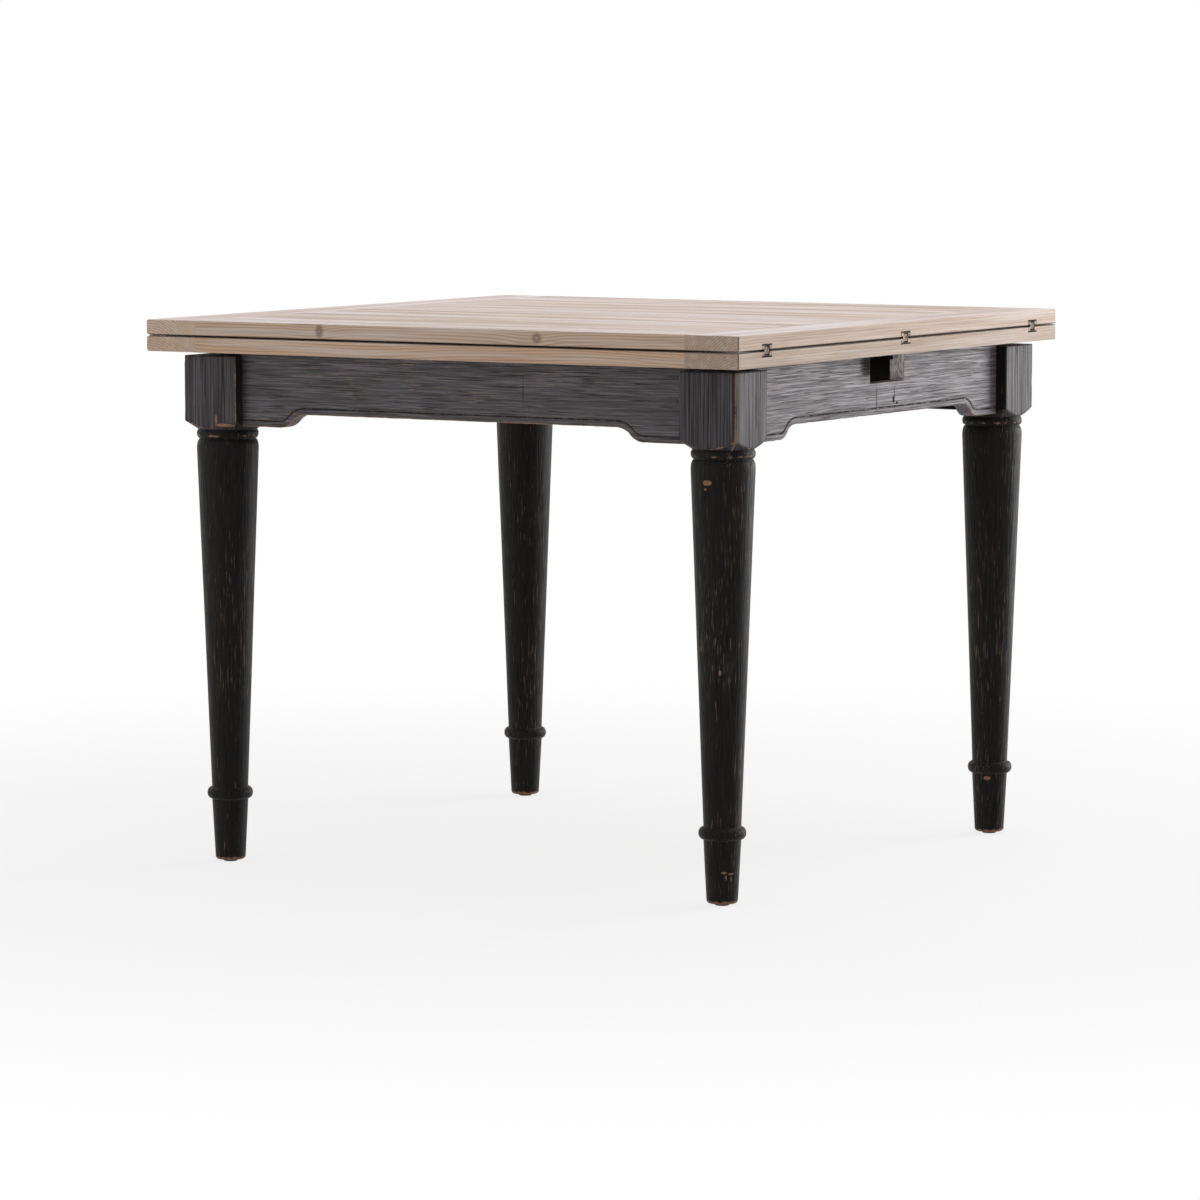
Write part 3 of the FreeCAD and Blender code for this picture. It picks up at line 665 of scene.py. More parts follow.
@dataclass(frozen=True)
class Mark:
    """A spot where the paint is knocked off or gone dark: its middle, width, height and soft rim."""

    place: tuple[float, float, float]
    wide: float
    tall: float
    soft: float = 0.3
    reach: float = 1.5

    def share(self, shader: Shader, ragged: Socket) -> Socket:
        """Work out where the mark lies.

        Args:
            shader: The material in the making.
            ragged: The noise that frays the mark's rim.

        Returns:
            The share of the mark.
        """
        offset = shader.vector("SUBTRACT", shader.place(), self.place)
        scaled = shader.vector("MULTIPLY", offset, [2 / self.wide, 2 / self.wide, 2 / self.tall])
        frayed = shader.sum("ADD", shader.vector("LENGTH", scaled, output=1), ragged)
        return shader.step(frayed, self.reach - self.soft, self.reach, 1.0, 0.0)


@dataclass(frozen=True)
class WornPaint:
    """Black paint on brushed pine, rubbed through to the wood on edges and along the grain."""

    name: str
    grain: Grain
    seed: float = 0.0
    edge_round: float = 0.0026
    edge_samples: int = 6
    open_reach: float = 0.006
    open_samples: int = 4
    gloss: float = 0.42
    dust: float = 0.0
    dust_roughness: float = 0.4
    ridge_depth: float = 0.0009
    ridge_strength: float = 0.85
    fibre_rise: float = 0.5
    pore_dip: float = 0.60
    bare_dip: float = 0.25
    matt_pores: float = 0.74
    fray: tuple[float, float, float] = (0.45, 0.60, 0.35)
    streak_length: float = 0.070
    pore_depth: float = 0.94
    lines: float = 480.0
    fibres: float = 600.0
    scratch_from: float = 0.715
    scratch_share: float = 0.75
    scratch_run: float = 36.0
    scratch_lines: float = 700.0
    scratch_soft: float = 0.05
    faint_share: float = 0.14
    chips: tuple[Mark, ...] = ()
    # Dark marks where the paint is black and matt: real marks, and by the notch also painted shadow.
    stains_and_shade: tuple[Mark, ...] = ()
    waver: tuple[float, float] = (3.0, 14.0)
    waver_reach: float = 0.003
    cloud: Streaks = Streaks(5.0, 13.0, 4.0, 4.0, 0.6)
    patch: Streaks = Streaks(95.0, 95.0, 9.0, 3.0, 0.6)
    dash_size: tuple[float, float] = (1.1, 0.85)
    thread_run: float = 0.4
    end_slant: tuple[float, float, float] = (520.0, 520.0, 110.0)
    end_turn: float = 8.0
    end_face: tuple[float, float] = (0.7, 0.95)
    end_ramp: Ramp = (0.40, 0.56, 0.45, 1.0)
    edge_ramp: Ramp = (0.78, 0.98, 0.80, 0.0)
    open_ramp: Ramp = (0.82, 0.98, 0.0, 1.0)
    gather_ramp: Ramp = (0.40, 0.64, 0.0, 0.07)
    tone_ramp: Ramp = (0.35, 0.65, 0.0, 1.0)
    roughness_ramp: Ramp = (0.36, 0.64, 0.60, 0.46)
    fibre_ramp: Ramp = (0.34, 0.64, 0.0, 1.0)
    cloud_ramp: Ramp = (0.38, 0.70, 0.30, 0.0)
    dash_ramp: Ramp = (0.60, 0.68, 0.0, 1.0)
    thread_ramp: Ramp = (0.48, 0.62, 0.0, 0.60)
    bare_ramp: Ramp = (1.28, 1.46, 0.0, 1.0)
    groove_ramp: Ramp = (-0.9, -0.2, 1.0, 0.0)
    broken_ramp: Ramp = (0.36, 0.56, 0.35, 0.95)
    paint: Colour = (0.0050, 0.0044, 0.0047)
    shade: Colour = (0.038, 0.0330, 0.0372)
    rubbed: Colour = (0.136, 0.118, 0.132)
    bare: Colour = (0.340, 0.140, 0.066)
    scratch: Colour = (0.270, 0.180, 0.110)
    # End grain where paint has sunk in, coloured near white as painted light on the shadowed notch cheeks.
    end_grain_painted_light: Colour = (0.930, 0.890, 0.910)

    def make(self) -> bpy.types.Material:
        """Make the material.

        Returns:
            The material.
        """
        shader = Shader(self.name)
        place = shader.warped(shader.place(), self.grain.sizes(*self.waver), self.waver_reach)
        fibre = self.draw(shader, place, Streaks(1.0 / self.streak_length, self.fibres, 0.0, 2.0, 0.6))
        cloud = self.draw(shader, place, self.cloud)
        patch = self.draw(shader, place, self.patch)
        pore = self.pores(shader, place)
        colour = shader.blend(shader.step(fibre, *self.fibre_ramp), self.shade, self.rubbed)
        colour = shader.blend(shader.step(cloud, *self.cloud_ramp), colour, self.paint)
        colour = shader.blend(shader.times(pore, self.pore_depth), colour, self.paint)
        # Painted light: end grain, on the notch cheeks, takes a near-white colour standing for light that the
        # shadowed cheek does not get.
        if self.grain is not Grain.UPRIGHT:
            colour = shader.blend(self.at_ends(shader), colour, self.end_grain_painted_light)
        colour = shader.blend(self.scratches(shader, place, cloud), colour, self.scratch)
        soft_normal = shader.add("Bevel", {"Radius": self.edge_round}, samples=self.edge_samples).outputs[0]
        by_cloud, by_patch, by_fibre = self.fray
        ragged = shader.sum("MULTIPLY_ADD", cloud, by_cloud, shader.times(patch, by_patch))
        ragged = shader.sum("MULTIPLY_ADD", fibre, by_fibre, ragged)
        bare_share = self.rubbed_edges(shader, soft_normal, ragged)
        for chip in self.chips:
            bare_share = shader.most(bare_share, chip.share(shader, fibre))
        bare_tone = shader.blend(shader.step(fibre, *self.tone_ramp), self.bare, self.scratch)
        colour = shader.blend(bare_share, colour, bare_tone)
        groove = shader.times(shader.step(shader.wear(), *self.groove_ramp),
                              shader.step(patch, *self.broken_ramp))
        colour = shader.blend(groove, colour, self.paint)
        matt = shader.most(groove, shader.times(pore, self.matt_pores * self.pore_depth))
        # Dark marks are coloured black and made matt: real marks, and by the notch painted shadow.
        for stain_and_shade in self.stains_and_shade:
            share = stain_and_shade.share(shader, fibre)
            colour = shader.blend(share, colour, self.paint)
            matt = shader.most(matt, share)
        height = shader.sum("MULTIPLY_ADD", pore, -self.pore_dip, shader.times(fibre, self.fibre_rise))
        height = shader.sum("MULTIPLY_ADD", bare_share, -self.bare_dip, height)
        return shader.finish({
            "Base Color": colour,
            "Roughness": shader.most(matt, shader.step(fibre, *self.roughness_ramp)),
            "Specular IOR Level": self.gloss,
            "Sheen Weight": self.dust,
            "Sheen Roughness": self.dust_roughness,
            "Normal": shader.relief(height, self.ridge_depth, self.ridge_strength, soft_normal),
        })

    def draw(self, shader: Shader, place: Socket, streaks: Streaks) -> Socket:
        """Draw a noise along this piece's grain."""
        return streaks.draw(shader, place, self.grain, self.seed)

    def pores(self, shader: Shader, place: Socket) -> Socket:
        """Work out where the paint lies thick in the brushed grain.

        Args:
            shader: The material in the making.
            place: The place on the piece.

        Returns:
            The share of thick paint.
        """
        run = 1.0 / self.streak_length
        along, across = self.dash_size
        dash = self.draw(shader, place, Streaks(along * run, across * self.lines, 1.0, 1.0))
        thread = self.draw(shader, place, Streaks(self.thread_run * run, self.lines, 2.0, 1.0))
        return shader.most(shader.step(dash, *self.dash_ramp), shader.step(thread, *self.thread_ramp))

    def at_ends(self, shader: Shader) -> Socket:
        """Work out where the paint has sunk into end grain.

        Args:
            shader: The material in the making.

        Returns:
            The share of end grain, which takes a near-white colour as painted light.
        """
        normal = shader.add("TexCoord").outputs["Normal"]
        end = shader.step(shader.away(normal, self.grain), *self.end_face)
        slanted = shader.noise(shader.place(), self.end_slant, self.seed + self.end_turn)
        return shader.times(end, shader.step(slanted, *self.end_ramp))

    def rubbed_edges(self, shader: Shader, soft_normal: Socket, ragged: Socket) -> Socket:
        """Work out where outer edges are rubbed through to the wood.

        Args:
            shader: The material in the making.
            soft_normal: The normal of the rounded edges.
            ragged: The noise that gathers the wear into patches and frays it.

        Returns:
            The share of bare wood.
        """
        normal = shader.add("NewGeometry").outputs["Normal"]
        turn = shader.vector("DOT_PRODUCT", soft_normal, normal, output=1)
        around = shader.add("AmbientOcclusion", {"Distance": self.open_reach}, samples=self.open_samples)
        open_air = shader.step(around.outputs["AO"], *self.open_ramp)
        edge = shader.times(shader.step(turn, *self.edge_ramp), open_air)
        worn = shader.most(edge, shader.wear())
        return shader.step(shader.sum("ADD", worn, ragged), *self.bare_ramp)

    def scratches(self, shader: Shader, place: Socket, cloud: Socket) -> Socket:
        """Work out where the brush has gone through to the wood.

        Args:
            shader: The material in the making.
            place: The place on the piece.
            cloud: The noise that gathers the scratches into patches.

        Returns:
            The share of bare scratch.
        """
        thread = self.draw(shader, place, Streaks(self.scratch_run, self.scratch_lines, 6.0))
        lifted = shader.sum("ADD", thread, shader.step(cloud, *self.gather_ramp))
        start, soft = self.scratch_from, self.scratch_soft
        deep = shader.step(lifted, start, start + soft, 0.0, self.scratch_share)
        faint = shader.step(lifted, start - soft, start, 0.0, self.faint_share)
        return shader.most(deep, faint)


@dataclass(frozen=True)
class PlainTimber:
    """Sawn timber inside the base, stained or left natural; the near-black staining inside the base also
    stands for painted shade.
    """

    name: str
    grain: Grain
    pale: Colour
    dark: Colour
    gloss: float = 0.35
    fibre: Streaks = Streaks(6.0, 260.0, 1.0, 4.0, 0.6)
    band: Streaks = Streaks(2.0, 60.0, 2.0, 3.0)
    fibre_share: float = 0.6
    tone_ramp: Ramp = (0.35, 0.65, 0.0, 1.0)
    roughness: tuple[float, float] = (0.6, 0.78)
    relief_depth: float = 0.0005
    relief_strength: float = 0.5

    def make(self) -> bpy.types.Material:
        """Make the material.

        Returns:
            The material.
        """
        shader = Shader(self.name)
        place = shader.place()
        fibre = self.fibre.draw(shader, place, self.grain)
        band = self.band.draw(shader, place, self.grain)
        by_band = shader.times(band, 1.0 - self.fibre_share)
        share = shader.sum("MULTIPLY_ADD", fibre, self.fibre_share, by_band)
        return shader.finish({
            "Base Color": shader.blend(shader.step(share, *self.tone_ramp), self.pale, self.dark),
            "Roughness": shader.step(fibre, *SPREAD, *self.roughness),
            "Specular IOR Level": self.gloss,
            "Normal": shader.relief(fibre, self.relief_depth, self.relief_strength),
        })


@dataclass(frozen=True)
class AgedMetal:
    """Metal with a brushed sheen, tarnish in patches and, on the hinge cups, a near-black band on the outer
    lips that paints the shade of the mortise gaps.
    """

    name: str
    bright: Colour
    tarnish: Colour
    roughness: float
    tarnish_from: float
    tarnish_soft: float = 0.2
    dulled: float = 0.2
    brushed: tuple[float, float] = (-0.06, 0.08)
    brush_depth: float = 0.00008
    brush_strength: float = 0.4
    patch: Streaks = Streaks(220.0, 220.0, 3.0, 4.0, 0.6)
    brush: Streaks = Streaks(150.0, 2400.0, 5.0)
    # The lip fields and the near-black colour below paint the shade of the mortise gaps onto the cups' outer
    # lips.
    lip_level: float = 0.0
    lip_from: float = 0.0
    lip_soft: float = 0.0006
    lip_share: float = 0.94
    painted_shade: Colour = (0.016, 0.011, 0.009)

    def make(self) -> bpy.types.Material:
        """Make the material.

        Returns:
            The material.
        """
        shader = Shader(self.name)
        place = shader.place()
        patch = self.patch.draw(shader, place, Grain.ALONG_HINGE)
        brush = self.brush.draw(shader, place, Grain.ALONG_HINGE)
        share = shader.step(patch, self.tarnish_from, self.tarnish_from + self.tarnish_soft)
        colour = shader.blend(share, self.bright, self.tarnish)
        # Painted shade: the cups' outer lips are coloured near black, standing for the shadow in the mortise
        # gaps.
        if self.lip_from > 0.0:
            height = shader.away(place, Grain.UPRIGHT, self.lip_level)
            lip = shader.step(height, self.lip_from, self.lip_from + self.lip_soft, 0.0, self.lip_share)
            colour = shader.blend(lip, colour, self.painted_shade)
        worn = shader.step(patch, *SPREAD, self.roughness, self.roughness + self.dulled)
        return shader.finish({
            "Base Color": colour,
            "Metallic": 1.0,
            "Roughness": shader.sum("ADD", worn, shader.step(brush, *SPREAD, *self.brushed)),
            "Normal": shader.relief(brush, self.brush_depth, self.brush_strength),
        })


@dataclass(frozen=True)
class MouldedNylon:
    """Dark moulded nylon, scuffed by the floor."""

    name: str
    fresh: Colour
    scuffed: Colour
    grit: Streaks = Streaks(900.0, 900.0, 2.0, 3.0)
    scuff: Streaks = Streaks(160.0, 160.0, 4.0, 4.0, 0.65)
    scuff_ramp: Ramp = (0.5, 0.75, 0.0, 1.0)
    roughness: tuple[float, float] = (0.45, 0.7)
    grit_depth: float = 0.0002
    grit_strength: float = 0.35

    def make(self) -> bpy.types.Material:
        """Make the material.

        Returns:
            The material.
        """
        shader = Shader(self.name)
        place = shader.place()
        grit = self.grit.draw(shader, place, Grain.UPRIGHT)
        scuff = self.scuff.draw(shader, place, Grain.UPRIGHT)
        return shader.finish({
            "Base Color": shader.blend(shader.step(scuff, *self.scuff_ramp), self.fresh, self.scuffed),
            "Roughness": shader.step(scuff, *SPREAD, *self.roughness),
            "Normal": shader.relief(grit, self.grit_depth, self.grit_strength),
        })


# Pieces

def clamped(value: float, low: float = 0.0, high: float = 1.0) -> float:
    """Return a value held between two limits."""
    return min(max(value, low), high)


def middle_of(name: str) -> Vector:
    """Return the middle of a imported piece's box."""
    low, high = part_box(name)
    return (low + high) / 2


def dress(names: Iterable[str], material: bpy.types.Material) -> None:
    """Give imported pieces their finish.

    Args:
        names: The nodes.
        material: The finish.
    """
    for name in names:
        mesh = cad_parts[name].data
        mesh.materials.clear()
        mesh.materials.append(material)
        LOG.info("dressed %s in %s", name, material.name)


def put_in_place(mesh: bpy.types.Mesh, node: str, body: str, slot: str) -> bpy.types.Object:
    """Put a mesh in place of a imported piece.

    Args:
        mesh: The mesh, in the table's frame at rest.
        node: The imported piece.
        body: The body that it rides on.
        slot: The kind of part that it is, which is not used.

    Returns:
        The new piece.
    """
    piece = bpy.data.objects.new(mesh.name, mesh)
    bpy.context.scene.collection.objects.link(piece)
    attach(piece, body)
    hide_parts(node)
    LOG.info("built %s", piece.name)
    return piece


def worn_mesh(node: str, points: list[Vector], faces: list[list[int]], wears: list[float],
              finishes: Sequence[bpy.types.Material], picks: list[int]) -> bpy.types.Mesh:
    """Make a mesh that carries its wear and its finishes.

    Args:
        node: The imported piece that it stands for.
        points: The places of its corners.
        faces: The corners of each face.
        wears: The wear at each corner.
        finishes: The materials.
        picks: The number of each face's material.

    Returns:
        The mesh.
    """
    mesh = bpy.data.meshes.new(f"worn_{node}")
    mesh.from_pydata(points, [], faces)
    mesh.attributes.new("wear", "FLOAT", "POINT").data.foreach_set("value", wears)
    for finish in finishes:
        mesh.materials.append(finish)
    mesh.polygons.foreach_set("material_index", picks)
    return mesh


def moulding(level: float, base: float, crest: float, middle: float, half: float) -> float:
    """Return the radius of a half-round moulding.

    Args:
        level: The height.
        base: The radius beside the moulding.
        crest: The radius at its middle.
        middle: The height of its middle.
        half: Half its height.

    Returns:
        The radius at that height.
    """
    share = min(abs(level - middle) / half, 1.0)
    return base + (crest - base) * math.sqrt(1.0 - share * share)


# Base

@dataclass
class TurnedLeg:
    """A leg: square block, beaded neck, tapered shaft, ringed foot, with every edge rubbed soft."""

    corner: Corner
    block_half: float = 0.0440
    block_foot: float = 0.6155
    shoulder_slope: float = 0.631
    chamfer_reach: float = 0.048225
    neck: float = 0.0385
    bead: float = 0.0435
    bead_level: float = 0.6075
    bead_half: float = 0.0070
    shaft_head: float = 0.0435
    shaft_head_level: float = 0.5875
    shaft_shoulder: float = 0.0130
    shaft_foot: float = 0.0255
    ring: float = 0.03225
    ring_level: float = 0.0980
    ring_half: float = 0.0085
    foot: float = 0.02125
    foot_round: float = 0.0040
    corner_power: float = 32.0
    edge_ease: float = 0.0016
    top_ease: float = 0.0012
    top_slope: float = 0.7
    row_counts: tuple[int, ...] = (6, 12, 14, 60, 9, 14, 18, 14, 4)
    cone_share: float = 0.45
    chamfer_from: float = 0.2
    block_near: float = 0.98
    paint_drop: float = 0.0008
    columns: int = 112
    corner_crowding: float = 0.72
    sole_rub: float = 0.012
    bead_rub: tuple[float, float] = (0.66, 0.36)
    bead_rub_drop: float = 0.002
    bead_waves: tuple[float, float, float] = (4.5, 9.0, 7.0)
    ring_rub: float = 0.45
    head_rub: tuple[float, float, float] = (0.004, 0.010, 0.50)
    corner_rub: float = 0.00045
    shoulder_rub: float = 0.0042
    top_rub: tuple[float, float] = (0.8, 0.002)
    edge_rub: tuple[float, float] = (0.88, 0.60)
    edge_rub_limits: tuple[float, float] = (0.30, 0.98)
    edge_waves: tuple[float, float, float] = (22.0, 5.0, 3.0)
    inner_rub: float = 0.66
    ripple: float = 0.00022
    ripple_waves: tuple[float, float] = (90.0, 7.0)
    dent: float = 0.0011
    dent_waves: float = 130.0
    axis: Vector = field(init=False)
    sole: float = field(init=False)
    top: float = field(init=False)

    def __post_init__(self) -> None:
        """Take the leg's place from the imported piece."""
        low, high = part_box(self.node)
        self.axis = (low + high) / 2
        self.sole = low.z
        self.top = high.z

    @property
    def node(self) -> str:
        """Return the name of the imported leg."""
        return f"leg_{self.corner.label}"

    def levels(self) -> list[float]:
        """Set out the mesh's rows, close where the profile turns.

        Returns:
            Their heights.
        """
        ends = [
            self.sole + self.foot_round,
            self.ring_level - self.ring_half,
            self.ring_level + self.ring_half,
            self.shaft_head_level,
            self.bead_level - self.bead_half,
            self.bead_level + self.bead_half,
            self.block_foot + self.shoulder_slope * self.block_half * self.cone_share,
            self.top - 2 * self.top_ease,
            self.top,
        ]
        rows: list[float] = []
        low = self.sole
        for high, count in zip(ends, self.row_counts):
            shares = [0.5 - 0.5 * math.cos(math.pi * step / count) for step in range(count)]
            rows += [low + (high - low) * share for share in shares]
            low = high
        return [*rows, self.top]

    def turned(self, level: float) -> float:
        """Return the radius of the turned part at a height.

        Args:
            level: The height.

        Returns:
            The radius.
        """
        foot_top = self.sole + self.foot_round
        if level < foot_top:
            return moulding(level, self.foot - self.foot_round, self.foot, foot_top, self.foot_round)
        if level < self.ring_level:
            share = (level - foot_top) / (self.ring_level - self.ring_half - foot_top)
            plain = self.foot + (self.shaft_foot - self.foot) * min(share, 1.0)
            return moulding(level, plain, self.ring, self.ring_level, self.ring_half)
        if level < self.shaft_head_level:
            low = self.ring_level + self.ring_half
            share = max(level - low, 0.0) / (self.shaft_head_level - low)
            plain = self.shaft_foot + (self.shaft_head - self.shaft_foot) * share
            return moulding(level, plain, max(self.ring, plain), self.ring_level, self.ring_half)
        if level < self.bead_level - self.bead_half:
            return moulding(level, self.neck, self.shaft_head, self.shaft_head_level, self.shaft_shoulder)
        return moulding(level, self.neck, self.bead, self.bead_level, self.bead_half)

    def turned_wear(self, angle: float, level: float) -> float:
        """Work out how far the turned part is rubbed.

        Args:
            angle: The angle about the leg's axis.
            level: The height.

        Returns:
            The wear from 0 to 1.
        """
        turn, by_x, by_y = self.bead_waves
        around = Vector((turn * math.cos(angle) + by_x * self.axis.x,
                         turn * math.sin(angle) + by_y * self.axis.y, 1.0))
        even, uneven = self.bead_rub
        rise, half, share = self.head_rub
        bands = (
            (self.bead_level - self.bead_rub_drop, self.bead_half, even + uneven * noise.noise(around)),
            (self.ring_level, self.ring_half, self.ring_rub),
            (self.shaft_head_level + rise, half, share),
        )
        rubbed = [most * (1.0 - abs(level - middle) / reach) for middle, reach, most in bands]
        return max(0.0, 1.0 - (level - self.sole) / self.sole_rub, *rubbed)

    def block(self, angle: float, level: float, cone: float) -> tuple[float, float]:
        """Work out the square block's reach and its wear at one place.

        Args:
            angle: The angle about the leg's axis.
            level: The height.
            cone: The reach of the turned shoulder at that height.

        Returns:
            The reach, and how far the place is rubbed from 0 to 1.
        """
        across, deep = math.cos(angle), math.sin(angle)
        outward, backward = self.corner.value
        folded = abs(across) ** self.corner_power + abs(deep) ** self.corner_power
        square = self.block_half / folded ** (1.0 / self.corner_power)
        lost = self.block_half / max(abs(across), abs(deep)) - square
        inward = -(outward * across + backward * deep)
        slanted = self.chamfer_reach * math.sqrt(2.0) / inward if inward > self.chamfer_from else 1.0
        reach = self.eased(self.eased(square, slanted), cone)
        top_most, top_reach = self.top_rub
        edge = max(lost / self.corner_rub, 1.0 - abs(square - cone) / self.shoulder_rub,
                   top_most - (self.top - level) / top_reach)
        quarter = math.floor(angle * 2.0 / math.pi)
        by_level, by_angle, by_x = self.edge_waves
        patch = noise.noise(Vector((level * by_level + by_angle * angle, by_x * self.axis.x + quarter, 5.0)))
        even, uneven = self.edge_rub
        rubbed = clamped(even + uneven * patch, *self.edge_rub_limits)
        if outward * across <= 0.0 or backward * deep <= 0.0:
            rubbed *= self.inner_rub
        return reach, clamped(edge) * rubbed

    def surface(self, angle: float, level: float) -> tuple[float, float]:
        """Work out the leg's radius and its wear at one place.

        Args:
            angle: The angle about the leg's axis.
            level: The height.

        Returns:
            The radius, and how far the place is rubbed from 0 to 1.
        """
        radius = self.turned(level)
        wear = self.turned_wear(angle, level)
        cone = self.block_half + (level - self.block_foot) / self.shoulder_slope
        if cone > radius * self.block_near:
            reach, block_wear = self.block(angle, level, cone)
            if reach > radius:
                radius, wear = reach, block_wear
        return radius - max(0.0, level - self.top + self.top_ease) * self.top_slope, wear

    def eased(self, first: float, second: float) -> float:
        """Return the lesser of two radii, rounded over where they meet."""
        share = max(self.edge_ease - abs(first - second), 0.0) / self.edge_ease
        return min(first, second) - share * share * self.edge_ease / 4.0

    def point(self, radius: float, angle: float, level: float) -> Vector:
        """Return a place given about the leg's axis."""
        return Vector((self.axis.x + radius * math.cos(angle), self.axis.y + radius * math.sin(angle), level))

    def build(self, block_paint: bpy.types.Material, shaded_shaft_paint: bpy.types.Material) -> bpy.types.Object:
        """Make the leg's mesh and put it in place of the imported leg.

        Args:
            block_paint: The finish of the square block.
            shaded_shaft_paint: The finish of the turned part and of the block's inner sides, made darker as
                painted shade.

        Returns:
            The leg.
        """
        rows = self.levels()
        crowd = self.corner_crowding / 4.0
        turns = [2.0 * math.pi * step / self.columns for step in range(self.columns)]
        angles = [turn + crowd * math.sin(4.0 * turn) for turn in turns]
        flat, tall = self.ripple_waves
        points: list[Vector] = []
        wears: list[float] = []
        for level in rows:
            for angle in angles:
                radius, wear = self.surface(angle, level)
                place = self.point(radius, angle, level)
                ripple = noise.noise(Vector((place.x * flat, place.y * flat, place.z * tall)))
                dent = max(0.0, noise.noise(place * self.dent_waves)) * wear
                points.append(self.point(radius + self.ripple * ripple - self.dent * dent, angle, level))
                wears.append(wear)
        faces, blocks = self.quads(rows, angles)
        points += [self.point(0.0, 0.0, self.sole), self.point(0.0, 0.0, self.top)]
        mesh = worn_mesh(self.node, points, faces, [*wears, 0.0, 0.0], (shaded_shaft_paint, block_paint), blocks)
        mesh.polygons.foreach_set("use_smooth", [True] * len(faces))
        mesh.validate()
        return put_in_place(mesh, self.node, "base", "black_paint_timber")

    def quads(self, rows: Sequence[float], angles: Sequence[float]) -> tuple[list[list[int]], list[int]]:
        """List the mesh's faces and which of them belong to the block's outer sides.

        Args:
            rows: The heights of the rows.
            angles: The angles of the columns.

        Returns:
            The faces' corners, and 1 for each face of the block's outer sides.
        """
        faces: list[list[int]] = []
        blocks: list[int] = []
        block_start = self.block_foot - self.paint_drop
        sole_middle = len(rows) * self.columns
        last = (len(rows) - 1) * self.columns
        for column in range(self.columns):
            beside = (column + 1) % self.columns
            faces.append([sole_middle, beside, column])
            faces.append([sole_middle + 1, last + column, last + beside])
            blocks += [0, 1]
            for row, level in enumerate(rows[:-1]):
                low, high = row * self.columns, (row + 1) * self.columns
                faces.append([low + column, low + beside, high + beside, high + column])
                # Inner sides of the block take the blackest paint: unrubbed paint and painted shade in the
                # corners by the aprons.
                blocks.append(int(level > block_start and self.faces_out(angles[column])))
        return faces, blocks

    def faces_out(self, angle: float) -> bool:
        """Tell whether a side of the block is an outer one, which hands and cloths rub; the inner sides, in
        the corners by the aprons, take the blackest paint, partly unrubbed and partly painted shade.

        Args:
            angle: The angle about the leg's axis.

        Returns:
            Whether the side at that angle faces out.
        """
        across, deep = math.cos(angle), math.sin(angle)
        if abs(across) > abs(deep):
            return across * self.corner.value[0] > 0.0
        return deep * self.corner.value[1] > 0.0


